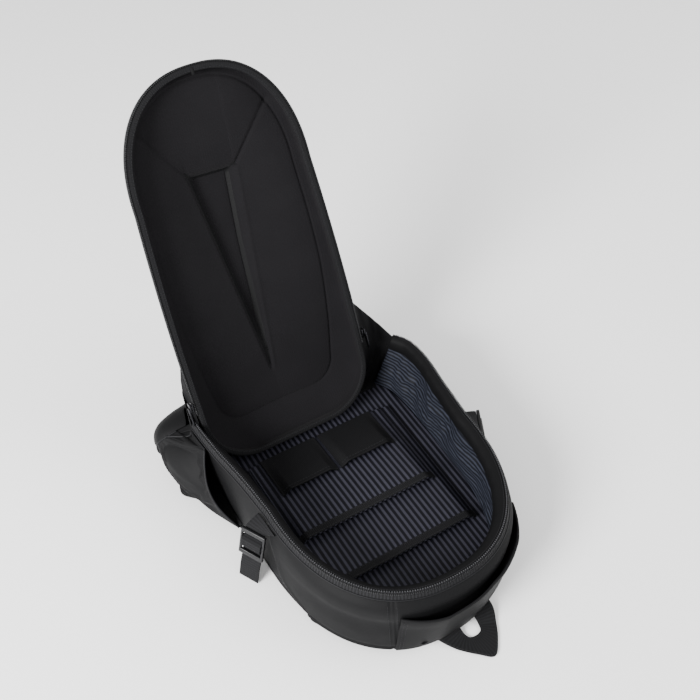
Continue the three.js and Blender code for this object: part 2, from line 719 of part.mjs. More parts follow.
// Cloth gusset from the lid's side edge to the end of the body's wall
function gusset(name, side) {
  const wallT = side < 0 ? 0 : 1;
  const half = GUSSET_THICK / 2;
  const topQ = qAtV(GUSSET_TOP_V);
  const middle = range(GUSSET_STEPS, (f) => {
    const q = mix(topQ, GUSSET_END_Q, f);
    const onLid = lidToBag(lidRim(q, side, LID_THICK + 2 * CLEAR + half, SEAM_DEPTH));
    const onWall = wallPoint(wallT, mix(1, GUSSET_FOOT, f), -WALL_THICK / 2);
    onWall.y += 2 * CLEAR + half;
    return range(4, (g) => {
      const point = onLid.clone().lerp(onWall, g);
      point.y += GUSSET_SAG * Math.sin(Math.PI * g);
      return point;
    });
  });
  return piece(name, slab(offsetGrid(middle, half), offsetGrid(middle, -half)), blackWebbing());
}

// Cloth strip from the lid's lower edge down to the lining at the bottom end
function hingeStrip() {
  const lidEdge = lidToBag(new THREE.Vector3(0, SEAM_DEPTH, -LID_THICK - CLEAR));
  const floor = liningHigh + CLEAR;
  const profile = [
    { y: lidEdge.y, z: lidEdge.z },
    { y: lidEdge.y + HINGE_RUN * 0.4, z: mix(floor + HINGE_THICK, lidEdge.z, 0.3) },
    { y: lidEdge.y + HINGE_RUN, z: floor + HINGE_THICK },
    { y: BACK_END_Y - 3 * WALL_THICK, z: floor + HINGE_THICK },
  ];
  const grid = (drop) =>
    range(2, (f) =>
      profile.map(({ y, z }) => new THREE.Vector3(LID_X + mix(-HINGE_HALF_WIDTH, HINGE_HALF_WIDTH, f), y, z - drop)),
    );
  return piece('hinge_strip', slab(grid(0), grid(HINGE_THICK)), blackWebbing());
}

// Coated carry band: upright between its two sewn ends, where it follows the wall
function handleBand() {
  const low = HANDLE_LIFT / WALL_HEIGHT;
  const high = (HANDLE_LIFT + HANDLE_HEIGHT) / WALL_HEIGHT;
  const face = (out) =>
    range(26, (f) => {
      const t = mix(HANDLE_START, HANDLE_END, f);
      const free = Math.min(1, HANDLE_SPRING * Math.sin(Math.PI * f));
      const foot = wallPoint(t, 0);
      return range(4, (g) => {
        const up = mix(low, high, g);
        const normal = planNormal(backPlan, t);
        const wall = wallPoint(t, up);
        const leaned = (wall.x - foot.x) * normal.x + (wall.y - foot.y) * normal.y;
        const upright = Math.max(-leaned, 0);
        const lift = upright + mix(HANDLE_FOOT_STANDOFF, HANDLE_STANDOFF, g);
        return wallPoint(t, up, 2 * CLEAR + free * lift + out);
      });
    });
  return piece('handle_band', slab(face(HANDLE_THICK), face(0)), coatedFabric());
}

function haulLoop() {
  const tucked = backLow - CLEAR - HAUL_THICK;
  const place = (x, y, drop, lift) =>
    new THREE.Vector3(HAUL_START_X + HAUL_SPAN * x, BACK_TOP_Y - HAUL_REACH * y, mix(tucked, CLEAR, drop) + lift);
  const face = (lift) =>
    HAUL_PLAN.map((row) => [
      place(row.inX, row.inY, row.drop, lift),
      place(mix(row.inX, row.outX, 0.5), mix(row.inY, row.outY, 0.5), row.drop, lift),
      place(row.outX, row.outY, row.drop, lift),
    ]);
  return piece('haul_loop', slab(face(HAUL_THICK), face(0)), blackWebbing());
}

function shoulderStrap(name, side) {
  const edge = (sign) =>
    range(18, (f) => {
      const reach = STRAP_REACH * fromTable(STRAP_PLAN, 'along', 'reach', f);
      const half = STRAP_HALF_WIDTH * fromTable(STRAP_PLAN, 'along', 'width', f);
      return new THREE.Vector2(BACK_CENTRE_X + side * (reach + sign * half), mix(STRAP_TOP_Y, STRAP_END_Y, f));
    });
  const shape = new THREE.Shape([...edge(1), ...edge(-1).reverse()]);
  const bevel = STRAP_THICK / 4;
  const geometry = new THREE.ExtrudeGeometry(shape, {
    depth: STRAP_THICK - 2 * bevel,
    bevelEnabled: true,
    bevelThickness: bevel,
    bevelSize: bevel,
    bevelOffset: -bevel,
    bevelSegments: 1,
  });
  const mesh = piece(name, geometry, meshPadding());
  mesh.position.z = bevel;
  return mesh;
}

// Webbing from the shoulder strap's lower end to the bottom corner of the bag
function lowerWebbing(name, side) {
  const top = ROLL_CENTRE_Z - ROLL_RADIUS_Z - CLEAR;
  const start = new THREE.Vector2(BACK_CENTRE_X + side * STRAP_REACH, STRAP_END_Y + CLEAR);
  const end = new THREE.Vector2(BACK_CENTRE_X + side * BACK_HALF_WIDTH * 0.75, ROLL_CENTRE_Y + LOWER_WEB_TUCK);
  const along = end.clone().sub(start).normalize();
  const half = new THREE.Vector2(-along.y, along.x).multiplyScalar(WEB_WIDTH * 0.35);
  const edge = (sign, lift) =>
    range(3, (f) => {
      const point = start.clone().lerp(end, f).addScaledVector(half, sign);
      point.y = Math.max(point.y, start.y);
      return new THREE.Vector3(point.x, point.y, top - lift);
    });
  const face = (lift) => [edge(-1, lift), edge(1, lift)];
  return piece(name, slab(face(0), face(WEB_THICK)), blackWebbing());
}

// Frame of axes for a buckle that hangs beside the wall: across, down and outwards
function buckleAxes(side) {
  const wallT = tAtY(side, BUCKLE_Y);
  const normal = planNormal(rimPlan, wallT);
  const outward = new THREE.Vector3(normal.x, normal.y, 0).applyAxisAngle(
    new THREE.Vector3(0, 0, 1),
    side * -BUCKLE_TURN,
  );
  const splay = BUCKLE_SPLAY + wallLean(wallT) / WALL_HEIGHT;
  const down = new THREE.Vector3(0, 0, -1).addScaledVector(outward, splay).normalize();
  const across = new THREE.Vector3().crossVectors(down, outward).normalize();
  const front = new THREE.Vector3().crossVectors(across, down);
  const swell = fromTable(WALL_SECTION, 'up', 'swell', 0.58);
  const stand = 4 * CLEAR + WEB_THICK + BUCKLE_THICK + swell + (BUCKLE_WIDTH / 2) * Math.sin(BUCKLE_TURN);
  const top = wallPoint(wallT, 1, stand);
  top.z = rimHigh - BUCKLE_DROP;
  return { across, down, outward: front, top };
}

const onBuckle = ({ across, down, outward, top }, a, d, n) =>
  top.clone().addScaledVector(across, a).addScaledVector(down, d).addScaledVector(outward, n);

function ladderBuckle(name, side) {
  const axes = buckleAxes(side);
  const shape = new THREE.Shape();
  const half = BUCKLE_WIDTH / 2;
  const corner = BUCKLE_THICK / 2;
  shape.moveTo(-half + corner, 0).lineTo(half - corner, 0).lineTo(half, corner);
  shape.lineTo(half, BUCKLE_HEIGHT - corner).lineTo(half - corner, BUCKLE_HEIGHT);
  shape.lineTo(-half + corner, BUCKLE_HEIGHT).lineTo(-half, BUCKLE_HEIGHT - corner).lineTo(-half, corner);
  const slot = (BUCKLE_HEIGHT - 3 * BUCKLE_BAR) / 2;
  const slotHalf = WEB_WIDTH / 2 + CLEAR;
  for (const low of [BUCKLE_BAR, 2 * BUCKLE_BAR + slot]) {
    const hole = new THREE.Path();
    hole.moveTo(-slotHalf, low).lineTo(-slotHalf, low + slot).lineTo(slotHalf, low + slot).lineTo(slotHalf, low);
    shape.holes.push(hole);
  }
  const mesh = piece(
    name,
    new THREE.ExtrudeGeometry(shape, { depth: BUCKLE_THICK, bevelEnabled: false }),
    bucklePlastic(),
  );
  const turn = new THREE.Matrix4().makeBasis(axes.across, axes.down, axes.outward);
  mesh.quaternion.setFromRotationMatrix(turn);
  mesh.position.copy(onBuckle(axes, 0, 0, -BUCKLE_THICK / 2));
  return mesh;
}

// Webbing from the rim's seam through the ladder buckle to its hanging tail
function compressionStrap(name, side) {
  const axes = buckleAxes(side);
  const slot = (BUCKLE_HEIGHT - 3 * BUCKLE_BAR) / 2;
  const lane = BUCKLE_THICK / 2 + CLEAR + WEB_THICK / 2;
  const middle = BUCKLE_BAR * 1.5 + slot;
  const lead = slot / 2 - WEB_THICK;
  const path = [
    { d: -WEB_THICK, n: -lane },
    { d: BUCKLE_BAR, n: -lane },
    { d: BUCKLE_BAR + slot / 2 - lead / 2, n: -lane },
    { d: BUCKLE_BAR + slot - lead / 2, n: lane },
    { d: middle, n: lane },
    { d: 2 * BUCKLE_BAR + slot + lead / 2, n: lane },
    { d: 2 * BUCKLE_BAR + 1.5 * slot + lead / 2, n: -lane },
    { d: BUCKLE_HEIGHT, n: -lane },
    { d: BUCKLE_HEIGHT + TAIL_LENGTH / 2, n: -lane + WEB_THICK },
    { d: BUCKLE_HEIGHT + TAIL_LENGTH, n: -lane + WEB_THICK / 2 },
  ];
  const edges = [-WEB_WIDTH / 2, 0, WEB_WIDTH / 2];
  const forwards = Math.sign(axes.across.y);
  const centre = [
    edges.map((a) => wallPoint(tAtY(side, BUCKLE_Y + a), STRAP_SEAM_UP, CLEAR + WEB_THICK / 2)),
    ...path.map(({ d, n }) => edges.map((a) => onBuckle(axes, forwards * a, d, n))),
  ];
  const front = offsetGrid(centre, WEB_THICK / 2);
  const back = offsetGrid(centre, -WEB_THICK / 2);
  return piece(name, slab(front, back), blackWebbing());
}

// Outer side of the lid's tape where a slider sits near the tape's end
function sliderSeat(side) {
  const q = qAtV(LID_TAPE_START_V + SLIDER_LENGTH);
  return lidRim(q, side, LID_THICK + LID_TAPE_THICK + BINDING_PROUD + 3 * CLEAR, 0);
}

// Zip slider on the end of the lid's tape, and the tab that hangs from it, in the lid's frame
function zipSlider(name, side) {
  const spot = sliderSeat(side);
  const mesh = piece(name, new THREE.BoxGeometry(SLIDER_THICK, SLIDER_WIDTH, SLIDER_LENGTH), sliderMetal());
  mesh.position.set(spot.x + (side * SLIDER_THICK) / 2, -BINDING_PROUD, spot.z);
  return mesh;
}

function zipPull(name, side) {
  const spot = sliderSeat(side);
  const shape = new THREE.Shape();
  const half = PULL_WIDTH / 2;
  shape.moveTo(-half * 0.6, 0).lineTo(half * 0.6, 0).lineTo(half, -PULL_LENGTH * 0.7);
  shape.lineTo(half * 0.5, -PULL_LENGTH).lineTo(-half * 0.5, -PULL_LENGTH).lineTo(-half, -PULL_LENGTH * 0.7);
  const mesh = piece(
    name,
    new THREE.ExtrudeGeometry(shape, { depth: PULL_THICK, bevelEnabled: false }),
    sliderMetal(),
  );
  mesh.rotation.set(Math.PI / 2, 0, 0);
  mesh.rotation.order = 'ZXY';
  mesh.rotation.z = Math.PI / 2;
  mesh.position.set(spot.x + side * (SLIDER_THICK + CLEAR), -BINDING_PROUD, spot.z);
  if (side < 0) mesh.position.x -= PULL_THICK;
  return mesh;
}

const bag = new THREE.Group();
const body = new THREE.Group();
body.add(backPanel(), bodyWall(), bodyZipTape(), baseCover(), handleBand(), haulLoop());
body.add(liningFloor(), liningWall());
body.add(slipPocket('laptop_sleeve', sleeve, stripedLining()), pocketHem('laptop_sleeve_hem', sleeve));
body.add(slipPocket('tablet_pocket', tablet, stripedLining()), pocketHem('tablet_pocket_hem', tablet));
body.add(slipPocket('phone_pocket', phone, blackWebbing()), slipPocket('notebook_pocket', notebook, blackWebbing()));
for (const [word, side] of [['left', -1], ['right', 1]]) {
  body.add(sidePocket(`side_pocket_${word}`, side));
  body.add(compressionStrap(`compression_strap_${word}`, side), ladderBuckle(`ladder_buckle_${word}`, side));
  body.add(shoulderStrap(`shoulder_strap_${word}`, side), lowerWebbing(`lower_webbing_${word}`, side));
  body.add(gusset(`gusset_${word}`, side));
}
body.add(hingeStrip());

const lid = new THREE.Group();
lid.position.set(LID_X, LID_HINGE_Y, hingeZ);
lid.rotation.x = -LID_TILT;
lid.add(lidShell(), lidBinding(), lidZipTape());
for (const [word, side] of [['left', -1], ['right', 1]]) {
  lid.add(zipSlider(`zip_slider_${word}`, side), zipPull(`zip_pull_${word}`, side));
}
bag.add(body, lid);

// The origin lies on the surface under the middle of the bag
const extent = new THREE.Box3().setFromObject(bag, true);
const middle = extent.getCenter(new THREE.Vector3());
bag.position.set(-middle.x, -middle.y, -extent.min.z);

export default bag;
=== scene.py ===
# %% [markdown]
# # A hard shell backpack, lying on its back with its lid swung open
# The imported CAD model gives every size and place. Here each of its plain solids is dressed as what it is:
# coated fabric on foam, knitted lining, nylon stripes, webbing, zips. We load the frame first. The dressed
# bag may not outgrow it.

import math

import bmesh
import bpy
from mathutils import Matrix, Vector, noise


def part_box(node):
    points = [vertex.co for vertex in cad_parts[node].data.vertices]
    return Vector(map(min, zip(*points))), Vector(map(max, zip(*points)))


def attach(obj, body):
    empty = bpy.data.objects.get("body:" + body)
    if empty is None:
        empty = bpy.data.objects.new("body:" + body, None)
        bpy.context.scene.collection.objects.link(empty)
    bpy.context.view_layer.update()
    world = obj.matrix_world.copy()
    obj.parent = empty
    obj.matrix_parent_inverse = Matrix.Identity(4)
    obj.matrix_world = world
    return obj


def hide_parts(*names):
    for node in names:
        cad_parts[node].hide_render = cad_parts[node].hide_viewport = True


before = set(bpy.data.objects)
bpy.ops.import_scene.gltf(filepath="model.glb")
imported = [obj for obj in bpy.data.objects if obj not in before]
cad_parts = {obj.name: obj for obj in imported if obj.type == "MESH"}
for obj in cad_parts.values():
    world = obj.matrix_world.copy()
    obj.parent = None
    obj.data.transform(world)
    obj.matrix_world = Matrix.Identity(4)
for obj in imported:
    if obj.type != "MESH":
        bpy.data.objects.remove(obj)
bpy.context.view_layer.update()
print("CAD nodes:", len(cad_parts))

# %% [markdown]
# ## One frame for everything
# The bag was drawn in millimetres in its own plan and then centred on its box. We keep the plan's numbers, so
# that a seam or a tooth can be placed on the same curves as the walls, and one function carries a point over
# to metres.

# %% From plan millimetres to row metres
MM = 0.001
PLAN_ORIGIN = Vector((-7.534, -55.926, 0.0))


def to_row(point):
    return (Vector(point) + PLAN_ORIGIN) * MM


def mix(a, b, share):
    return a + (b - a) * share


def ease(x):
    f = min(max(x, 0.0), 1.0)
    return f * f * (3 - 2 * f)


def bell(x, width):
    return math.exp(-((x / width) ** 2))


def from_table(table, x, column=1):
    """Smooth value of a column at x, where column 0 is the place."""
    i = 0
    while i < len(table) - 2 and x > table[i + 1][0]:
        i += 1
    rows = [table[min(max(n, 0), len(table) - 1)] for n in (i - 1, i, i + 1, i + 2)]
    p, q, r, s = rows
    span = r[0] - q[0]
    f = (x - q[0]) / span

    def slope(a, b):
        return 0.0 if a[0] == b[0] else (b[column] - a[column]) / (b[0] - a[0]) * span

    f2, f3 = f * f, f * f * f
    value = q[column] * (2 * f3 - 3 * f2 + 1) + slope(p, r) * (f3 - 2 * f2 + f)
    return value + r[column] * (3 * f2 - 2 * f3) + slope(q, s) * (f3 - f2)


print("plan origin in row millimetres:", tuple(PLAN_ORIGIN))

# %% [markdown]
# ## Camera
# The photograph was taken from the bag's upper left, well above it. The camera was fitted to the bag's
# outlines, and it comes before any piece.

# %% The camera
CAMERA_PLACE = (-325.46, -534.35, 971.58)
CAMERA_TARGET = (60.35, 108.93, 150.0)
SENSOR_WIDTH, LENS_LENGTH, FARTHEST_SEEN = 36.0, 50.02, 50.0
camera_data = bpy.data.cameras.new("camera")
camera_data.sensor_width = SENSOR_WIDTH
camera_data.lens = LENS_LENGTH
camera_data.clip_end = FARTHEST_SEEN
camera = bpy.data.objects.new("camera", camera_data)
bpy.context.scene.collection.objects.link(camera)
camera.location = to_row(CAMERA_PLACE)
look = to_row(CAMERA_TARGET) - to_row(CAMERA_PLACE)
camera.rotation_euler = look.to_track_quat("-Z", "Y").to_euler()
bpy.context.scene.camera = camera
print("camera at", [round(x, 3) for x in camera.location])

# %% [markdown]
# ## The bag's curves
# The body is a wall round a back panel. Its foot and its rim are two plan curves, an arch at the top end that
# runs into long sides, and a point of the wall is mixed from both. The rim is splayed, because the unzipped
# wall is soft. These are the sizes of the CAD solids.

# %% Sizes and plan curves of the body
# All in millimetres. CLEAR is the gap that is left between pieces that touch on the real bag.
CLEAR = 0.35
BACK_CENTRE_X, BACK_HALF_WIDTH, BACK_TOP_Y, BACK_ARCH_DEPTH, BACK_END_Y = 8, 131, -182, 175, 175
RIM_CENTRE_X, RIM_HALF_WIDTH, RIM_TOP_Y, RIM_ARCH_DEPTH = 22, 139, -170, 170
# the arch's superellipse power, and its share of each half of the plan curve
ARCH_POWER, ARCH_PART = 2.3, 0.56
TOP_END_REACH = 0.2
WALL_END_Y, WALL_HEIGHT, WALL_THICK = 150, 74, 3
STRAP_THICK, BACK_THICK, LINING_THICK = 9, 8, 1.5
BACK_LOW = STRAP_THICK + CLEAR
BACK_HIGH = BACK_LOW + BACK_THICK
LINING_HIGH = BACK_HIGH + CLEAR + LINING_THICK
RIM_HIGH = BACK_LOW + WALL_HEIGHT

# place along the side, then the half-widths as shares: low left, low right, rim left, rim right
WALL_PLAN = [
    (0.0, 0.99, 0.99, 0.95, 0.95),
    (0.35, 1.0, 1.0, 0.99, 0.985),
    (0.65, 1.0, 0.99, 1.04, 1.02),
    (0.86, 1.0, 0.95, 1.065, 1.0),
    (1.0, 0.99, 0.86, 1.075, 0.92),
]
# share of the height, outward swell, extra swell at the top end
WALL_SECTION = [
    (0.0, 0.0, 0.0),
    (0.3, 2.5, 0.0),
    (0.58, 3.0, 0.0),
    (0.72, 2.5, 3.0),
    (0.88, 1.5, 4.0),
    (1.0, 0.0, 0.0),
]
BACK_PLAN = (1, BACK_CENTRE_X, BACK_HALF_WIDTH, BACK_TOP_Y, BACK_ARCH_DEPTH)
RIM_PLAN = (3, RIM_CENTRE_X, RIM_HALF_WIDTH, RIM_TOP_Y, RIM_ARCH_DEPTH)


def plan_point(plan, t):
    first, centre, half, top_y, depth = plan
    side = -1 if t < 0.5 else 1
    column = first + (side > 0)
    away = abs(t - 0.5) * 2
    if away <= ARCH_PART:
        angle = away / ARCH_PART * math.pi / 2
        x = half * WALL_PLAN[0][column] * math.sin(angle) ** (2 / ARCH_POWER)
        y = top_y + depth * (1 - max(math.cos(angle), 0.0) ** (2 / ARCH_POWER))
        return Vector((centre + side * x, y))
    along = (away - ARCH_PART) / (1 - ARCH_PART)
    x = half * from_table(WALL_PLAN, along, column)
    return Vector((centre + side * x, mix(top_y + depth, WALL_END_Y, along)))


def plan_normal(plan, t, step=0.006):
    ahead = plan_point(plan, min(t + step, 1.0))
    behind = plan_point(plan, max(t - step, 0.0))
    return Vector((ahead.y - behind.y, behind.x - ahead.x)).normalized()


def wall_point(t, up, out=0.0):
    """Point out millimetres outside the wall; t runs round the bag, up is the share of its height."""
    normal = plan_normal(BACK_PLAN, t).lerp(plan_normal(RIM_PLAN, t), up).normalized()
    top_end = ease(1.6 - abs(t - 0.5) / TOP_END_REACH)
    swell = from_table(WALL_SECTION, up, 1) + top_end * from_table(WALL_SECTION, up, 2)
    base = plan_point(BACK_PLAN, t).lerp(plan_point(RIM_PLAN, t), up) + normal * (swell + out)
    return Vector((base.x, base.y, BACK_LOW + up * WALL_HEIGHT))


def t_at_y(side, y):
    start = BACK_TOP_Y + BACK_ARCH_DEPTH
    away = ARCH_PART + (1 - ARCH_PART) * (y - start) / (WALL_END_Y - start)
    return 0.5 + side * away / 2


wall_low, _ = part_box("body_wall")
print("wall's top end in plan and in CAD, m:", round(to_row(wall_point(0.5, 0)).y, 4), round(wall_low.y, 4))

# %% [markdown]
# The lid is drawn in its own plane: u across, v up from its lower edge, w into the shell. Its rim has two
# rounded lower corners, slightly bowed sides and an arched top.

# %% The lid's curves
LID_X, LID_HINGE_Y, LID_TILT, LID_LENGTH = -8, 118, math.radians(26.7), 436
LID_HINGE_Z = LINING_HIGH + 16
LID_HALF_BOTTOM, LID_HALF_TOP, LID_SIDE_BOW, LID_ARCH_DEPTH, LID_CORNER = 104, 98, 2.5, 126, 57
LID_THICK, LID_SKIRT, LID_DEPTH_BOTTOM, LID_DEPTH_TOP = 4, 10, 36, 27
LID_WALL_CURVE = 0.75
# height above the lid's lower edge, width of the sloping wall between rim and floor
LID_WALL = [(0, 31), (45, 27), (110, 18), (190, 10), (300, 7), (441, 7)]
ARCH_V = LID_LENGTH - LID_ARCH_DEPTH


def lid_outline(q):
    """Half of the rim in (u, v), q from 0 at the middle of the lower edge to 4 at the apex."""
    straight = LID_HALF_BOTTOM - LID_CORNER
    if q <= 1:
        return Vector((straight * q, 0.0))
    if q <= 2:
        angle = (q - 1) * math.pi / 2
        return Vector((straight + LID_CORNER * math.sin(angle), LID_CORNER * (1 - math.cos(angle))))
    if q <= 3:
        f = q - 2
        half = mix(LID_HALF_BOTTOM, LID_HALF_TOP, f) + LID_SIDE_BOW * 4 * f * (1 - f)
        return Vector((half, mix(LID_CORNER, ARCH_V, f)))
    angle = min(q - 3, 1.0) * math.pi / 2
    x = LID_HALF_TOP * max(math.cos(angle), 0.0) ** (2 / ARCH_POWER)
    return Vector((x, ARCH_V + LID_ARCH_DEPTH * math.sin(angle) ** (2 / ARCH_POWER)))


def lid_outline_past_ends(q):
    """The outline carried on past its two ends, mirrored, so that it has a direction there too."""
    if 0 <= q <= 4:
        return lid_outline(q)
    point = lid_outline(-q if q < 0 else 8 - q)
    return Vector((-point.x, point.y))


def lid_rim(q, side, out, w):
    """Point of the lid in (u, w, v): out millimetres outside the rim's line and w into the shell."""
    ahead = lid_outline_past_ends(q + 0.02)
    behind = lid_outline_past_ends(q - 0.02)
    normal = Vector((ahead.y - behind.y, behind.x - ahead.x)).normalized()
    point = lid_outline(q) + normal * out
    return Vector((side * point.x, w, point.y))


def lid_to_bag(point):
    s, c = math.sin(LID_TILT), math.cos(LID_TILT)
    u, w, v = point
    return Vector((LID_X + u, LID_HINGE_Y + v * s + w * c, LID_HINGE_Z + v * c - w * s))


def even_steps(curve, start, end, samples=1200):
    """Returns a function from a share of the curve's length to its parameter."""
    places = [mix(start, end, n / samples) for n in range(samples + 1)]
    points = [curve(p) for p in places]
    run = [0.0]
    for a, b in zip(points, points[1:]):
        run.append(run[-1] + (b - a).length)

    def at(share):
        target = min(max(share, 0.0), 1.0) * run[-1]
        lo, hi = 0, samples
        while hi - lo > 1:
            mid = (lo + hi) // 2
            if run[mid] > target:
                hi = mid
            else:
                lo = mid
        return mix(places[lo], places[hi], (target - run[lo]) / max(run[hi] - run[lo], 1e-9))

    return at, run[-1]


lid_q_at, lid_half_length = even_steps(lid_outline, 0.0, 4.0)


def lid_loop(share):
    """(q, side) on the whole rim: up the right side, over the apex and down the left one."""
    if share <= 0.5:
        return lid_q_at(share * 2), 1
    return lid_q_at((1 - share) * 2), -1


def q_at_v(v):
    return 2 + (v - LID_CORNER) / (ARCH_V - LID_CORNER)


print("length of the lid's rim, mm:", round(lid_half_length * 2))

# %% [markdown]
# ## Helpers that make pieces
# Cloth is a sheet, so each cloth piece starts as Blender's own grid. Its corners are then moved to where a
# small function of two shares puts them, and the UV map gets the real lengths in metres, so that a weave or a
# stripe keeps its size. A Solidify modifier gives the thickness.

# %% Grid, ribbon and tube
ROOT = "root"


def link(name, bm, *materials):
    mesh = bpy.data.meshes.new(name)
    bm.to_mesh(mesh)
    bm.free()
    mesh.shade_smooth()
    for material in materials:
        mesh.materials.append(material)
    obj = bpy.data.objects.new(name, mesh)
    bpy.context.scene.collection.objects.link(obj)
    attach(obj, ROOT)
    return obj


def capped(motion, limit):
    """The motion, made no longer than limit."""
    return motion * (limit / motion.length) if motion.length > limit else motion


def running(points):
    """Length along a line of points, up to each of them."""
    run = [0.0]
    for a, b in zip(points, points[1:]):
        run.append(run[-1] + (b - a).length)
    return run


def sheet_mesh(columns, rows, place, weld=False):
    """Grid of columns x rows faces; place(u, v) puts each corner, in plan millimetres."""
    bm = bmesh.new()
    bmesh.ops.create_grid(bm, x_segments=columns, y_segments=rows, size=0.5)
    uv = bm.loops.layers.uv.new("cloth")
    points = [[Vector(place(i / columns, j / rows)) for j in range(rows + 1)] for i in range(columns + 1)]
    run_u = running([line[rows // 2] for line in points])
    run_v = running(points[columns // 2])
    spot = {}
    for vert in bm.verts:
        i, j = round((vert.co.x + 0.5) * columns), round((vert.co.y + 0.5) * rows)
        spot[vert] = (i, j)
        vert.co = to_row(points[i][j])
    for face in bm.faces:
        for loop in face.loops:
            i, j = spot[loop.vert]
            loop[uv].uv = (run_u[i] * MM, run_v[j] * MM)
    if weld:
        bmesh.ops.remove_doubles(bm, verts=bm.verts, dist=1e-6)
    return bm, run_u[-1], run_v[-1]


FOLD_ANGLE = 50


def thicken(obj, thickness, offset=-1.0, second=False, bevel=0.0):
    """Cloth thickness in mm, to the back of the sheet; second gives the back the next material."""
    solid = obj.modifiers.new("thickness", "SOLIDIFY")
    solid.thickness = thickness * MM
    solid.offset = offset
    solid.use_even_offset = True
    if second:
        solid.material_offset = 1
        solid.material_offset_rim = 1
    if bevel:
        edge = obj.modifiers.new("edge", "BEVEL")
        edge.width = bevel * MM
        edge.segments = 2
        edge.limit_method = "ANGLE"
        edge.angle_limit = math.radians(FOLD_ANGLE)
    return obj


def cloth_piece(name, columns, rows, place, thickness, materials, weld=False, second=False, bevel=0.0):
    bm, width, length = sheet_mesh(columns, rows, place, weld)
    obj = thicken(link(name, bm, *materials), thickness, second=second, bevel=bevel)
    print(f"{name}: {columns} x {rows} faces, {width:.0f} x {length:.0f} mm")
    return obj, width * MM, length * MM


def tube_piece(name, points, radius, material, sides=8, closed=False):
    """Round cord along points in plan millimetres."""
    bm = bmesh.new()
    uv = bm.loops.layers.uv.new("cloth")
    count = len(points)
    run = running(points)
    rings = []
    for i, point in enumerate(points):
        before = points[i - 1] if i or closed else point
        after = points[(i + 1) % count] if i < count - 1 or closed else point
        turn = (after - before).to_track_quat("Z", "X").to_matrix().to_4x4()
        place = Matrix.Translation(to_row(point)) @ turn
        made = bmesh.ops.create_circle(bm, segments=sides, radius=radius * MM, matrix=place, cap_ends=False)
        rings.append(made["verts"])
    last = count if closed else count - 1
    for i in range(last):
        a, b = rings[i], rings[(i + 1) % count]
        start = min(range(sides), key=lambda k: (b[k].co - a[0].co).length)
        for k in range(sides):
            loop = (a[k], a[(k + 1) % sides], b[(k + 1 + start) % sides], b[(k + start) % sides])
            face = bm.faces.new(loop)
            for corner, (u, v) in zip(face.loops, ((0, k), (0, k + 1), (1, k + 1), (1, k))):
                reach = run[i] if u == 0 else run[min(i + 1, count - 1)]
                corner[uv].uv = (reach * MM, v / sides * 2 * math.pi * radius * MM)
    if not closed:
        bmesh.ops.contextual_create(bm, geom=rings[0])
        bmesh.ops.contextual_create(bm, geom=rings[-1])
    bmesh.ops.recalc_face_normals(bm, faces=bm.faces)
    return link(name, bm, material)


print("helpers ready")

# %% [markdown]
# Zip teeth and stitches are the same job at two sizes: a small rounded block, set many times along a line.
# All the blocks of a row are made as cubes in one mesh and bevelled together, so that each keeps only a few
# faces.

# %% Rows of small blocks
def block_row(name, places, size, bevel, material):
    """places are (point, along, outward) in plan millimetres; size is (along, across, outward)."""
    bm = bmesh.new()
    for point, along, outward in places:
        x = along.normalized()
        y = outward.cross(x).normalized()
        z = x.cross(y)
        turn = Matrix((x, y, z)).transposed().to_4x4()
        scale = Matrix.Diagonal((size[0] * MM, size[1] * MM, size[2] * MM, 1.0))
        bmesh.ops.create_cube(bm, size=1.0, matrix=Matrix.Translation(to_row(point)) @ turn @ scale)
    bmesh.ops.bevel(
        bm, geom=bm.edges[:], offset=bevel * MM, segments=1, profile=0.5, affect="EDGES", material=-1
    )
    obj = link(name, bm, material)
    print(f"{name}: {len(places)} blocks")
    return obj


def along_line(curve, pitch, outward, start=0.0, end=1.0, samples=400):
    """Places every pitch millimetres on curve(share), with the direction of travel and outward(share)."""
    at, length = even_steps(curve, start, end, samples)
    count = max(int(length / pitch), 1)
    places = []
    for n in range(count):
        share = at((n + 0.5) / count)
        step = (end - start) * 0.002
        along = curve(min(share + step, max(start, end))) - curve(max(share - step, min(start, end)))
        places.append((curve(share), along, outward(share)))
    return places


print("block rows ready")

# %% [markdown]
# Slack cloth isn't drawn by hand. A coarse copy of the sheet is held at its edges and grown, by 2 percent for
# a taut pocket and by up to 16 percent for the loose lining. Blender's cloth solver lets it buckle for about
# a second. What we keep is only how far each place moved, as a field over the two shares, so that the fine
# sheet can follow it with a limit on its motion.

# %% Cloth solver as a displacement field
SOLVER_STEPS, CLOTH_MASS = 6, 0.15


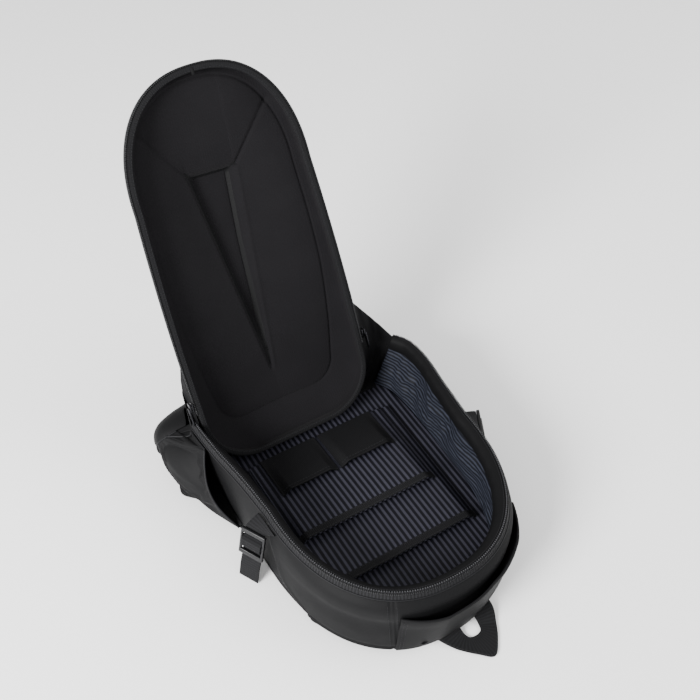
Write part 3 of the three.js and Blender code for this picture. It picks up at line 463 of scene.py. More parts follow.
def settle(place, columns, rows, growth, frames, stiffness=6.0, bending=0.05, gravity=0.3, slack=None):
    """Returns moved(u, v), the motion in plan millimetres of a held sheet whose cloth is too big by growth."""
    bm = bmesh.new()
    bmesh.ops.create_grid(bm, x_segments=columns, y_segments=rows, size=0.5)
    spots = [(round((v.co.x + 0.5) * columns), round((v.co.y + 0.5) * rows)) for v in bm.verts]
    for vert, (i, j) in zip(bm.verts, spots):
        vert.co = to_row(place(i / columns, j / rows))
    mesh = bpy.data.meshes.new("settling")
    bm.to_mesh(mesh)
    bm.free()
    sheet = bpy.data.objects.new("settling", mesh)
    bpy.context.scene.collection.objects.link(sheet)
    rest = [vert.co.copy() for vert in mesh.vertices]
    held = sheet.vertex_groups.new(name="held")
    held.add([n for n, (i, j) in enumerate(spots) if i in (0, columns) or j in (0, rows)], 1.0, "REPLACE")
    loose = sheet.vertex_groups.new(name="loose")
    for n, (i, j) in enumerate(spots):
        loose.add([n], slack(i / columns) if slack else 1.0, "REPLACE")
    cloth = sheet.modifiers.new("cloth", "CLOTH")
    rules = cloth.settings
    rules.quality = SOLVER_STEPS
    rules.mass = CLOTH_MASS
    rules.tension_stiffness = rules.compression_stiffness = stiffness
    rules.shear_stiffness = stiffness / 2
    rules.bending_stiffness = bending
    rules.vertex_group_mass = "held"
    rules.vertex_group_shrink = "loose"
    rules.shrink_min, rules.shrink_max = 0.0, -growth
    rules.effector_weights.gravity = gravity
    cloth.point_cache.frame_start, cloth.point_cache.frame_end = 1, frames
    for frame_number in range(1, frames + 1):
        bpy.context.scene.frame_set(frame_number)
    shaped = sheet.evaluated_get(bpy.context.evaluated_depsgraph_get()).data
    field = {}
    for spot, before, vert in zip(spots, rest, shaped.vertices):
        field[spot] = (vert.co - before) / MM
    bpy.data.objects.remove(sheet)
    bpy.data.meshes.remove(mesh)
    bpy.context.scene.frame_set(1)

    def moved(u, v):
        x, y = min(max(u, 0), 1) * columns, min(max(v, 0), 1) * rows
        i, j = min(int(x), columns - 1), min(int(y), rows - 1)
        a, b = x - i, y - j
        low = field[i, j].lerp(field[i + 1, j], a)
        return low.lerp(field[i, j + 1].lerp(field[i + 1, j + 1], a), b)

    farthest = max(motion.length for motion in field.values())
    print("settled", columns, "x", rows, "faces; largest motion, mm:", round(farthest, 1))
    return moved

# %% [markdown]
# ## Materials
# Nearly everything on this bag is black, and what tells its materials apart is how they take the light. So
# each gets its own roughness, gleam and relief, with colours given as sRGB hex values.

# %% Material helpers
# at a scale of 1 the Wave texture has one band in this many metres
WAVE_PITCH = 2 * math.pi / 20


def srgb(hex_value):
    """Linear colour from an sRGB hex value such as 3a3a3c."""
    parts = [int(hex_value[n : n + 2], 16) / 255 for n in (0, 2, 4)]
    return tuple(c / 12.92 if c <= 0.04045 else ((c + 0.055) / 1.055) ** 2.4 for c in parts) + (1.0,)


def add(tree, kind, inputs=None, **settings):
    """Adds a node; inputs maps a socket's name or number to a value or to another node's output."""
    node = tree.nodes.new(kind)
    for key, value in settings.items():
        setattr(node, key, value)
    for socket, value in (inputs or {}).items():
        if isinstance(value, bpy.types.NodeSocket):
            tree.links.new(value, node.inputs[socket])
        else:
            node.inputs[socket].default_value = value
    return node


def start_material(name, roughness, **shader_inputs):
    """A new material with its tree and shader; underscores in shader_inputs stand for spaces."""
    material = bpy.data.materials.new(name)
    material.use_nodes = True
    tree = material.node_tree
    shader = tree.nodes["Principled BSDF"]
    shader.inputs["Roughness"].default_value = roughness
    for key, value in shader_inputs.items():
        shader.inputs[key.replace("_", " ")].default_value = value
    return material, tree, shader


# the Mix node's colour sockets share their names with its other kinds of sockets, so they go by number
MIX_DARK, MIX_LIGHT, MIX_RESULT = 6, 7, 2


def two_tone(tree, factor, dark, light):
    """Colour between dark and light by factor, which is another node's output."""
    mixer = add(tree, "ShaderNodeMix", {"Factor": factor}, data_type="RGBA")
    mixer.inputs[MIX_DARK].default_value = srgb(dark)
    mixer.inputs[MIX_LIGHT].default_value = srgb(light)
    return mixer.outputs[MIX_RESULT]


def relief(tree, shader, height, strength, distance_mm, under=None):
    """Bump from a height, laid over the relief under it; returns the new normal."""
    inputs = {"Strength": strength, "Distance": distance_mm * MM, "Height": height}
    if under is not None:
        inputs["Normal"] = under
    bump = add(tree, "ShaderNodeBump", inputs)
    tree.links.new(bump.outputs["Normal"], shader.inputs["Normal"])
    return bump.outputs["Normal"]


def per_metre(size_mm):
    """Texture scale that gives one feature each size_mm."""
    return 1.0 / (size_mm * MM)


def mapped(tree, value, from_low, from_high, to_low=0.0, to_high=1.0, **settings):
    """The value carried from one range to another."""
    inputs = {"Value": value, 1: from_low, 2: from_high, 3: to_low, 4: to_high}
    return add(tree, "ShaderNodeMapRange", inputs, **settings).outputs[0]


def ribs(tree, vector, pitch_mm, direction, distortion):
    """Wave texture with one band each pitch_mm."""
    scale = per_metre(pitch_mm) * WAVE_PITCH
    inputs = {"Vector": vector, "Scale": scale, "Distortion": distortion, "Detail": 1.0}
    return add(tree, "ShaderNodeTexWave", inputs, bands_direction=direction).outputs["Fac"]


print("sRGB 3a3a3c in linear:", [round(c, 4) for c in srgb("3a3a3c")[:3]])

# %% [markdown]
# ** Coated polyester.** The outer skin is polyester with a thick polyurethane coat, cast on release paper,
# which gives it a fine pebble grain and a dull gleam. The grain is about 0.5 mm on the bag; it is drawn at
# 0.9 mm, so that it shows. Broad, faint cloudiness stands for handling. The piping round an edge is a little
# lighter, a painted highlight because it catches the light. The facing of the rim is duller, and its colour
# is painted darker, as the shade in the gap behind the zip teeth.

# %% Coated polyester, cast grain
def coated_polyester(name, dark="0a0a0b", light="0f0f10", roughness=0.62):
    material, tree, shader = start_material(name, roughness, Specular_IOR_Level=0.1)
    place = add(tree, "ShaderNodeTexCoord").outputs["Object"]
    cloud = add(tree, "ShaderNodeTexNoise", {"Vector": place, "Scale": per_metre(60), "Detail": 3.0})
    colour = two_tone(tree, cloud.outputs["Fac"], dark, light)
    tree.links.new(colour, shader.inputs["Base Color"])
    worn = mapped(tree, cloud.outputs["Fac"], 0.0, 1.0, roughness - 0.06, roughness + 0.08)
    tree.links.new(worn, shader.inputs["Roughness"])
    grain = add(tree, "ShaderNodeTexVoronoi", {"Vector": place, "Scale": per_metre(0.9)})
    soft = add(tree, "ShaderNodeTexNoise", {"Vector": place, "Scale": per_metre(7), "Detail": 2.0})
    wavy = relief(tree, shader, soft.outputs["Fac"], 0.25, 0.6)
    relief(tree, shader, grain.outputs["Distance"], 0.22, 0.25, under=wavy)
    return material


COATED = coated_polyester("coated_polyester")
COATED_WELT = coated_polyester("coated_polyester_welt", "121213", "1a1a1c", 0.5)
# a darker copy for the rim's facing: painted shade from the gap behind the zip teeth
COATED_FACING_SHADED = coated_polyester("coated_polyester_facing_painted_shade", "060607", "0b0b0c", 0.7)

# %% [markdown]
# **Bonded knit.** The lid is moulded foam with a polyester knit bonded to its inside. The knit drinks light,
# so it is nearly black and very rough, with a weak sheen from its loose fibres. Its ribs are 0.7 mm apart on
# the bag; they are drawn at 2.8 mm, so that they show.

# %% Bonded knit lining
def bonded_knit(name, dark="0d0c0e", light="131214"):
    material, tree, shader = start_material(
        name, 0.88, Specular_IOR_Level=0.1, Sheen_Weight=0.03, Sheen_Roughness=0.45
    )
    cloth = add(tree, "ShaderNodeTexCoord").outputs["Object"]
    turned = add(tree, "ShaderNodeMapping", {"Vector": cloth, "Rotation": (LID_TILT, 0.0, 0.0)})
    wales = ribs(tree, turned.outputs[0], 2.764, "X", 0.6)
    courses = ribs(tree, turned.outputs[0], 1.974, "Z", 0.6)
    knit = add(tree, "ShaderNodeMath", {0: wales, 1: courses}, operation="MULTIPLY")
    cloud = add(tree, "ShaderNodeTexNoise", {"Vector": cloth, "Scale": per_metre(45), "Detail": 4.0})
    tree.links.new(two_tone(tree, cloud.outputs["Fac"], dark, light), shader.inputs["Base Color"])
    relief(tree, shader, knit.outputs[0], 0.3, 0.3)
    return material


KNIT = bonded_knit("bonded_knit")

# %% [markdown]
# ** Striped taffeta.** The lining is thin plain-woven nylon with a printed stripe, grey on navy black. It
# comes each 6.5 mm on the back's panels and each 4.4 mm on the side wall, whose copy has its grey painted
# darker, as the shade on the wall. Taffeta is smooth, so it catches a soft gleam on each crinkle. The stripe
# follows the UV map, across it on the back and along it on the side wall.

# %% Striped nylon taffeta
def striped_taffeta(name, axis, dark="0d0d12", light="34343d", period=6.5, roughness=0.5):
    material, tree, shader = start_material(name, roughness, Specular_IOR_Level=0.09)
    coords = add(tree, "ShaderNodeTexCoord")
    parts = add(tree, "ShaderNodeSeparateXYZ", {"Vector": coords.outputs["UV"]})
    place = parts.outputs[axis]
    cycle = add(tree, "ShaderNodeMath", {0: place, 1: 2 * math.pi / (period * MM)}, operation="MULTIPLY")
    wave = add(tree, "ShaderNodeMath", {0: cycle.outputs[0]}, operation="SINE")
    band = mapped(tree, wave.outputs[0], -0.15, 0.4, interpolation_type="SMOOTHSTEP")
    cloth = coords.outputs["UV"]
    fibre = add(tree, "ShaderNodeTexNoise", {"Vector": cloth, "Scale": per_metre(1.5), "Detail": 2.0})
    broken = mapped(tree, fibre.outputs["Fac"], 0.0, 1.0, 0.45, 1.15)
    share = add(tree, "ShaderNodeMath", {0: band, 1: broken}, operation="MULTIPLY")
    tree.links.new(two_tone(tree, share.outputs[0], dark, light), shader.inputs["Base Color"])
    crinkle = add(tree, "ShaderNodeTexNoise", {"Vector": cloth, "Scale": per_metre(22), "Detail": 4.0})
    wavy = relief(tree, shader, crinkle.outputs["Fac"], 0.5, 1.2)
    threads = add(tree, "ShaderNodeTexNoise", {"Vector": cloth, "Scale": per_metre(0.8)})
    relief(tree, shader, threads.outputs["Fac"], 0.2, 0.15, under=wavy)
    return material


STRIPE_ACROSS = striped_taffeta("striped_taffeta_back", "X")
# the side wall's copy: its grey stripe is painted darker, as the shade on the wall
STRIPE_ALONG = striped_taffeta("striped_taffeta_wall_painted_shade", "Y", "0d0e13", "292c35", period=4.4, roughness=0.6)

# %% [markdown]
# ** Webbing and binding.** Polyester webbing is woven with ribs across its width, 1 to 2 mm apart, which show
# as a fine ladder. They are drawn about 3 mm apart. Zip tape and binding are the same yarn, and the binding's
# ribs are finer. Pocket cloth is plain 210D oxford. On all of them, and on the thread, the grooves between ribs
# are painted darker, as shade.

# %% Ribbed webbing, tape and oxford cloth
def ribbed_weave(name, dark, light, rib_mm, roughness=0.8, height=0.5):
    material, tree, shader = start_material(name, roughness, Specular_IOR_Level=0.15)
    coords = add(tree, "ShaderNodeTexCoord").outputs["UV"]
    across = ribs(tree, coords, rib_mm, "X", 0.3)
    yarns = ribs(tree, coords, rib_mm * 0.7, "Y", 0.4)
    weave = add(tree, "ShaderNodeMath", {0: across, 1: yarns}, operation="ADD")
    # the colour follows the ribs' height: the grooves are painted darker, as shade
    tree.links.new(two_tone(tree, across, dark, light), shader.inputs["Base Color"])
    relief(tree, shader, weave.outputs[0], height, 0.3)
    return material


WEBBING = ribbed_weave("polyester_webbing", "0b0b0c", "141416", 3.158, height=0.35)
ZIP_TAPE = ribbed_weave("zip_tape", "0a0a0b", "1b1b1d", 3.553, height=0.5)
BINDING = ribbed_weave("grosgrain_binding", "0a0a0b", "131315", 2.171)
OXFORD = ribbed_weave("oxford_cloth", "060607", "0c0c0e", 1.777, roughness=0.7, height=0.3)

# %% [markdown]
# **Hard parts.** The ladder buckles are moulded acetal: dense, slightly waxy and finely eroded by the mould.
# The zip coil is nylon monofilament, smooth enough to glint on every turn. A darker copy of it is painted
# shade: the lid's half, which is in shadow, and the lower turns of the body's coil. Sliders are cast zinc with
# black plating. Sewing thread is a bonded yarn with a light twist.

# %% Acetal, nylon coil, plated zinc and thread
def moulded_acetal(name, colour="0c0c0d"):
    material, tree, shader = start_material(name, 0.38, Specular_IOR_Level=0.3)
    place = add(tree, "ShaderNodeTexCoord").outputs["Object"]
    erosion = add(tree, "ShaderNodeTexNoise", {"Vector": place, "Scale": per_metre(0.7), "Detail": 2.0})
    tree.links.new(two_tone(tree, erosion.outputs["Fac"], colour, "151517"), shader.inputs["Base Color"])
    relief(tree, shader, erosion.outputs["Fac"], 0.15, 0.1)
    return material


def nylon_coil(name, dark="242426", light="3e3e41"):
    material, tree, shader = start_material(name, 0.35, Specular_IOR_Level=0.3)
    place = add(tree, "ShaderNodeTexCoord").outputs["Object"]
    drawn = add(tree, "ShaderNodeTexNoise", {"Vector": place, "Scale": per_metre(5)})
    tree.links.new(two_tone(tree, drawn.outputs["Fac"], dark, light), shader.inputs["Base Color"])
    return material


def plated_zinc(name):
    material, tree, shader = start_material(name, 0.3, Metallic=1.0)
    place = add(tree, "ShaderNodeTexCoord").outputs["Object"]
    handled = add(tree, "ShaderNodeTexNoise", {"Vector": place, "Scale": per_metre(4), "Detail": 3.0})
    tree.links.new(two_tone(tree, handled.outputs["Fac"], "2a2a2c", "3c3c40"), shader.inputs["Base Color"])
    dull = mapped(tree, handled.outputs["Fac"], 0.0, 1.0, 0.22, 0.42)
    tree.links.new(dull, shader.inputs["Roughness"])
    return material


ACETAL = moulded_acetal("moulded_acetal")
COIL = nylon_coil("nylon_coil")
# the darker copy of the coil is painted shade, for the lid's teeth and the body's lower turns
COIL_SHADED = nylon_coil("nylon_coil_painted_shade", "0e0e0f", "1c1c1e")
ZINC = plated_zinc("plated_zinc")
THREAD = ribbed_weave("bonded_thread", "1c1c1e", "323235", 1.579, roughness=0.6)

# %% [markdown]
# ** Spacer mesh.** The back panel and the shoulder straps are covered with knitted spacer mesh, open cells
# about 3 mm apart over foam. Rounded Voronoi cells on Object coordinates give the cells, and they are painted
# dark inside, as the shade in each hole.

# %% Spacer mesh
def spacer_mesh(name):
    material, tree, shader = start_material(name, 0.92, Specular_IOR_Level=0.15)
    place = add(tree, "ShaderNodeTexCoord").outputs["Object"]
    cells = add(tree, "ShaderNodeTexVoronoi", {"Vector": place, "Scale": per_metre(3.0), "Randomness": 0.25})
    rim = mapped(tree, cells.outputs["Distance"], 0.3, 0.5, interpolation_type="SMOOTHSTEP")
    # each cell is painted dark in its middle: painted shade in the holes
    tree.links.new(two_tone(tree, rim, "060606", "161617"), shader.inputs["Base Color"])
    relief(tree, shader, rim, 0.8, 0.8)
    return material


SPACER = spacer_mesh("spacer_mesh")
print("materials:", len(bpy.data.materials))

# %% [markdown]
# ## The soft side wall
# The wall is one long strip of coated fabric on 3 mm foam. It is padded, so it swells between its seams and
# is never quite even. On each side the pocket panel is set in behind a curved lip, and near the carry band a
# seam with two rows of stitches runs down the wall. These are shallow steps in the strip's own surface.

# %% Body wall
# height's share, place of the set-in panel's edge
PANEL_LIP = [(0.0, 0.30), (0.2, 0.263), (0.3, 0.25), (0.525, 0.238), (0.775, 0.228), (1.0, 0.222)]
PANEL_STEP, LIP_WIDTH, LIP_SWELL = 2.6, 0.0045, 0.9
# place round the bag of each seam's top and foot
SEAM_PLACES = ((0.409, 0.423), (0.4145, 0.4285))
SEAM_DENT, SEAM_DENT_WIDTH = 0.9, 0.0016
FOOT_DENT, FOOT_DENT_UP = 1.0, 0.055


def seam_t(seam, up):
    top, foot = SEAM_PLACES[seam]
    return mix(foot, top, up)


def skin_out(t, up):
    """Small swells, the set-in panels and the seams, in mm outside the wall's plain face."""
    point = wall_point(t, up)
    soft = noise.noise(point / 55.0) * 1.1 + noise.noise(point / 19.0) * 0.35
    near = t if t < 0.5 else 1 - t
    lip = from_table(PANEL_LIP, up)
    step = ease((near - lip) / LIP_WIDTH + 0.5)
    out = soft * math.sin(math.pi * min(max(up, 0.0), 1.0)) ** 0.5 - PANEL_STEP * (1 - step)
    out += LIP_SWELL * bell(near - lip - 0.006, 0.006)
    for seam in (0, 1):
        out -= SEAM_DENT * bell(t - seam_t(seam, up), SEAM_DENT_WIDTH)
    out -= FOOT_DENT * bell(up - FOOT_DENT_UP, 0.02)
    return out


def place_skin(u, v):
    return wall_point(u, v, skin_out(u, v))


body_wall, wall_length, _ = cloth_piece(
    "body_wall_skin", 560, 40, place_skin, WALL_THICK - 0.4, [COATED, OXFORD], second=True
)
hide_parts("body_wall")

# %% [markdown]
# The zip half on the body is a nylon coil on a tape that stands on the wall's edge. Its teeth show as a fine
# bright line along the top, and the turns of the coil below them are painted darker, as shade. A narrow welt
# covers the tape's seam.

# %% Body zip: tape, welt and teeth
TAPE_WIDTH, TAPE_THICK, TAPE_LEAN = 10, 2, 4


def tape_point(t, share, out=0.0):
    point = wall_point(t, 1.0, out - share * share * TAPE_LEAN)
    wave = 0.5 * noise.noise(Vector((t * 26.0, 0.0, 4.0)))
    return Vector((point.x, point.y, RIM_HIGH + CLEAR + share * (TAPE_WIDTH + wave)))


body_tape, tape_length, _ = cloth_piece(
    "body_zip_tape_cloth", 360, 6, tape_point, TAPE_THICK - 0.6, [ZIP_TAPE]
)
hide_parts("body_zip_tape")
rim_out = lambda t: wall_point(t, 1.0, 1.0) - wall_point(t, 1.0)
body_teeth = block_row(
    "body_zip_teeth",
    along_line(lambda t: tape_point(t, 1.0, -0.2) + Vector((0, 0, 0.2)), 2.6, rim_out, 0.004, 0.996),
    (1.2, 1.3, 1.5), 0.35, COIL,
)
# the coil's lower turns use the darker copy: painted shade
coil = block_row(
    "body_zip_coil",
    along_line(lambda t: tape_point(t, 0.72, 0.15), 2.1, rim_out, 0.004, 0.996),
    (1.0, 4.4, 0.9), 0.3, COIL_SHADED,
)
welt = tube_piece(
    "rim_welt", [tape_point(n / 300, 0.02, 0.35) for n in range(301)], 0.9, COATED_WELT
)

# %% [markdown]
# Behind the teeth the rim is faced with smooth coated cloth. It lies over the wall's padded edge as a shelf
# about 10 mm wide and turns down to the lining, which is sewn to its lower edge. At the left end the lid
# passes close by, so the facing is narrow there.

# %% Rim facing
FACING_EDGE = 5.4
# share across the facing, how far inside the wall, height above the rim
FACING = [(0.0, FACING_EDGE, 10.1), (0.25, 8.6, 9.4), (0.5, 12.4, 6.4), (0.75, 14.0, 0.0), (1.0, 13.2, -8.0)]


def facing_point(t, share, out=0.0):
    reach = mix(0.12, 1.0, ease(t / 0.1)) * (1 + 0.45 * bell(t - 0.66, 0.16))
    pucker = noise.noise(Vector((t * wall_length / MM / 9.0, share * 2.5, 4.0)))
    out += 0.45 * pucker * math.sin(math.pi * share)
    wave = 0.9 * noise.noise(Vector((t * 19.0, share * 1.3, 2.0)))
    wave += 0.35 * noise.noise(Vector((t * 60.0, share * 3, 8)))
    inside = FACING_EDGE + (from_table(FACING, share, 1) - FACING_EDGE) * reach + wave * share - out
    point = wall_point(t, 1.0, -inside)
    return Vector((point.x, point.y, RIM_HIGH + from_table(FACING, share, 2) + 0.5 * wave * share))


rim_facing, *facing_cut = cloth_piece(
    "rim_facing_cloth", 420, 16, lambda u, v: facing_point(1 - u, 1 - v), 0.9, [COATED_FACING_SHADED, OXFORD],
    second=True,
)
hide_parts("body_zip_tape")
facing_stitches = block_row(
    "rim_facing_stitches",
    along_line(lambda t: facing_point(t, 0.1, 0.25), 3.0, lambda t: Vector((0, 0, 1)), 0.01, 0.99, 900),
    (2.1, 0.5, 0.5), 0.14, THREAD,
)

# %% [markdown]
# ## Lining and slip pockets
# The side wall's lining hangs loose from the rim and crinkles, most along the two sides. It is drawn with
# shallow folds, and the cloth solver then adds the slack. The sheet stands off the wall, so that the wall's
# foam never comes through it.

# %% Wall lining
LINING_DROP, LINING_FOLD_DEPTH, LINING_FOLDS, LINING_STANDOFF = 3, 4, 11, 3.6
LINING_BOTTOM = (LINING_HIGH + CLEAR - BACK_LOW) / WALL_HEIGHT
LINING_TOP = 1 - LINING_DROP / WALL_HEIGHT


def crinkle(u, v):
    """Sharp-crested folds of thin nylon, in mm, from two layers of ridged noise that run aslant."""
    a = noise.noise(Vector((u / 26.0 + v / 40.0, v / 21.0 - u / 90.0, 1.5)))
    b = noise.noise(Vector((u / 12.0 - v / 19.0, v / 15.0, 7.5)))
    return (1 - abs(a) * 2.6) * 1.6 + (1 - abs(b) * 2.4) * 0.7


def lining_point(t, share):
    loose = ease((abs(t - 0.5) - 0.14) / 0.125)
    held = math.sin(math.pi * share) ** 0.6
    fold = loose * held * (0.5 - 0.5 * math.cos(2 * math.pi * LINING_FOLDS * t)) * LINING_FOLD_DEPTH
    fine = crinkle(t * wall_length / MM, share * WALL_HEIGHT) * held * mix(0.35, 1.0, loose)
    inward = WALL_THICK + LINING_STANDOFF + LINING_THICK + fold + max(fine, -0.6)
    return wall_point(t, mix(LINING_BOTTOM, LINING_TOP, share), -inward)


LINING_GROWTH, LINING_MOTION, LINING_SIDEWAYS = 0.16, 20, 6
lining_moved = settle(
    lambda u, v: lining_point(1 - u, v), 200, 20, LINING_GROWTH, 24,
    slack=lambda u: mix(0.2, 1.0, ease((abs(u - 0.5) - 0.12) / 0.2)),
)


def lining_face(u, v):
    """The lining with its slack; cloth that went outwards is mirrored, because the wall is there."""
    t = 1 - u
    point = lining_point(t, v)
    normal = plan_normal(RIM_PLAN, t).to_3d()
    motion = lining_moved(u, v)
    inward = -motion.dot(normal)
    sideways = capped(motion + normal * inward, LINING_SIDEWAYS)
    inward = inward if inward > 0 else -0.5 * inward
    room = ease(t / 0.14)
    point += sideways * room - normal * min(inward, LINING_MOTION) * room
    point.z = max(point.z, LINING_HIGH + CLEAR)
    return point


wall_lining, *lining_flat = cloth_piece("wall_lining_cloth", 420, 40, lining_face, 0.5, [STRIPE_ALONG])
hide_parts("lining_wall")


# %% [markdown]
# The back's lining is flat. It is a grid between the back's left and right edges, so it narrows with the arch
# at the top end and with the rounded corners at the bottom end.

# %% Back lining
BACK_CORNER = 24


def side_reach(y, inset):
    """Left and right edge of the back at y, inset millimetres inside it."""
    top, depth = BACK_TOP_Y + inset, BACK_ARCH_DEPTH - inset
    if y <= top + depth:
        cosine = max(1 - max(y - top, 0.0) / depth, 0.0) ** (ARCH_POWER / 2)
        reach = math.sqrt(max(1 - cosine * cosine, 0.0)) ** (2 / ARCH_POWER)
        half = [(BACK_HALF_WIDTH * WALL_PLAN[0][k] - inset) * reach for k in (1, 2)]
    else:
        along = min((y - top - depth) / (WALL_END_Y - top - depth), 1.0)
        past = max(y - WALL_END_Y, 0.0) / (BACK_END_Y - WALL_END_Y)
        half = [(BACK_HALF_WIDTH * from_table(WALL_PLAN, along, k) - inset) for k in (1, 2)]
        half = [h - BACK_CORNER * (1 - math.sqrt(max(1 - past * past, 0.0))) for h in half]
    return BACK_CENTRE_X - half[0], BACK_CENTRE_X + half[1]


def panel_sheet(inset, height, end_y):
    def place(u, v):
        y = mix(BACK_TOP_Y + inset, end_y, v)
        left, right = side_reach(y, inset)
        x = mix(left, right, u)
        return Vector((x, y, height(x, y)))

    return place


def flat_uv(obj):
    """UV in metres straight from x and y, for a pattern that isn't bent by the sheet's outline."""
    layer = obj.data.uv_layers["cloth"].data
    for loop in obj.data.loops:
        co = obj.data.vertices[loop.vertex_index].co
        layer[loop.index].uv = (co.x, co.y)


def floor_height(x, y):
    return LINING_HIGH + 0.5 * noise.noise(Vector((x / 30.0, y / 38.0, 3.0))) - 0.3


LINING_INSET = WALL_THICK
floor_lining, *floor_flat = cloth_piece(
    "floor_lining_cloth", 90, 120, panel_sheet(LINING_INSET, floor_height, BACK_END_Y - WALL_THICK), 1.0,
    [STRIPE_ACROSS], weld=True,
)
flat_uv(floor_lining)
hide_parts("lining_floor")

# %% [markdown]
# On the back's lining lie four slip pockets that open towards the top end, each a sheet sewn down at its
# sides and foot and standing a little open at its mouth. They lie on each other, so each one's height starts
# from the rise of the one under it.

# %% Slip pockets
POCKET_THICK, POCKET_HALF_WIDTH, POCKET_STEP_IN, POCKET_SLOPE, POCKET_END_Y = 3, 104, 14, 12, 104
SLEEVE_MOUTH_Y, TABLET_MOUTH_Y, SMALL_MOUTH_Y, SMALL_POCKET_GAP = -86, -22, 44, 4
POCKET_GAPE, HEM_WIDTH, HEM_THICK = 8, 9, 1.2
SLEEVE_BASE = LINING_HIGH + CLEAR
TABLET_BASE = SLEEVE_BASE + POCKET_THICK + CLEAR
SMALL_BASE = TABLET_BASE + POCKET_THICK + CLEAR
SLEEVE_LEFT, SLEEVE_RIGHT = BACK_CENTRE_X - POCKET_HALF_WIDTH, BACK_CENTRE_X + POCKET_HALF_WIDTH
TABLET_LEFT, TABLET_RIGHT = SLEEVE_LEFT + POCKET_STEP_IN, SLEEVE_RIGHT - POCKET_STEP_IN


def gape(mouth_y, y):
    return POCKET_GAPE * min(max(1 - (y - mouth_y) / (POCKET_END_Y - mouth_y), 0.0), 1.0)


def no_rise(y):
    return 0.0


def sleeve_rise(y):
    return gape(SLEEVE_MOUTH_Y, y)


def tablet_rise(y):
    return sleeve_rise(y) + gape(TABLET_MOUTH_Y, y)


def small_rise(y):
    return tablet_rise(y) + gape(SMALL_MOUTH_Y, y)


SMALL_LEFT, SMALL_RIGHT = TABLET_LEFT + POCKET_STEP_IN, TABLET_RIGHT - POCKET_STEP_IN
GAP_LEFT, GAP_RIGHT = BACK_CENTRE_X - SMALL_POCKET_GAP / 2, BACK_CENTRE_X + SMALL_POCKET_GAP / 2

# name: left, right, mouth y, base z, rise of what lies under it, its own rise, material, CAD node
POCKETS = {
    "laptop_sleeve_pad": (
        SLEEVE_LEFT, SLEEVE_RIGHT, SLEEVE_MOUTH_Y, SLEEVE_BASE, no_rise, sleeve_rise, STRIPE_ACROSS,
        "laptop_sleeve",
    ),
    "tablet_pocket_cloth": (
        TABLET_LEFT, TABLET_RIGHT, TABLET_MOUTH_Y, TABLET_BASE, sleeve_rise, tablet_rise, STRIPE_ACROSS,
        "tablet_pocket",
    ),
    "phone_pocket_cloth": (
        SMALL_LEFT, GAP_LEFT, SMALL_MOUTH_Y, SMALL_BASE, tablet_rise, small_rise, OXFORD, "phone_pocket",
    ),
    "notebook_pocket_cloth": (
        GAP_RIGHT, SMALL_RIGHT, SMALL_MOUTH_Y, SMALL_BASE, tablet_rise, small_rise, OXFORD, "notebook_pocket",
    ),
}


def pocket_point(spec, x, y, lift=0.0):
    left, right, mouth_y, base, under, own = spec[:6]
    inside = min(x - left, right - x)
    rise = mix(under(y), own(y), ease(inside / POCKET_SLOPE))
    across = (x - left) / (right - left)
    slack = 0.5 * noise.noise(Vector((x / 34.0, y / 44.0, base)))
    slack *= ease(inside / 20) * ease((POCKET_END_Y - y) / 20)
    mouth_bow = -1.2 * math.sin(math.pi * across) * bell(y - mouth_y, 14)
    return Vector((x, y, base + lift + rise + slack + mouth_bow))


for name, spec in POCKETS.items():
    left, right, mouth_y = spec[:3]
    pocket, *flat = cloth_piece(
        name, 80, 70,
        lambda u, v: pocket_point(spec, mix(left, right, u), mix(mouth_y, POCKET_END_Y, v), POCKET_THICK),
        POCKET_THICK - 0.5, [spec[6]], bevel=0.6,
    )
    flat_uv(pocket)
    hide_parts(spec[7])

# %% [markdown]
# Each big pocket's mouth is bound with a black tape, sewn with two rows of stitches. A small pocket's mouth
# is hemmed without a tape and has one row.

# %% Hems and their stitches
HEM_TAPE_WIDTH, HEM_END_GAP = 10, 3


def hem_point(spec, x, share, lift):
    return pocket_point(spec, x, spec[2] + share * HEM_WIDTH, POCKET_THICK + CLEAR + lift)


for name, node in (("laptop_sleeve_pad", "laptop_sleeve_hem"), ("tablet_pocket_cloth", "tablet_pocket_hem")):
    spec = POCKETS[name]
    hem, *flat = cloth_piece(
        node + "_tape", 90, 5,
        lambda u, v: hem_point(spec, mix(spec[0], spec[1], u), v, HEM_THICK), HEM_THICK, [BINDING], bevel=0.3,
    )
    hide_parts(node)

for name, spec in POCKETS.items():
    taped = spec[7] in ("laptop_sleeve", "tablet_pocket")
    rows, lift = ((0.16, 0.84), HEM_THICK) if taped else ((0.5,), -0.3)
    first_x, last_x = spec[0] + HEM_END_GAP, spec[1] - HEM_END_GAP
    places = []
    for share in rows:
        line = lambda f: hem_point(spec, mix(first_x, last_x, f), share, lift)
        places += along_line(line, 3.6, lambda f: Vector((0, 0, 1)))
    stitches = block_row(name + "_stitches", places, (2.5, 0.55, 0.5), 0.15, THREAD)

# %% [markdown]
# ## The moulded lid
# The lid is one sheet of foam, pressed hot between moulds with knit on its inside and coated fabric outside.
# From the rim a sloping wall falls to a floor, and the floor has a sunken wedge with a crease from each of
# its upper corners. The sheet is a grid that goes once round the rim and from the rim to the lid's middle
# line, welded where it closes.

# %% Relief of the lid's floor
# The wedge's corners in the lid's plane, and the depth it is sunk.
WEDGE_LEFT, WEDGE_RIGHT, WEDGE_TIP = Vector((-29.5, 327.5)), Vector((27.6, 324.4)), Vector((3.5, 61.6))
WEDGE_DEPTH, WEDGE_BANK_LEFT, WEDGE_BANK_RIGHT, WEDGE_BANK_TOP = 9.5, 3.0, 9.0, 5.0
CREASE_LEFT, CREASE_RIGHT = Vector((-73.0, 386.0)), Vector((88.7, 398.0))
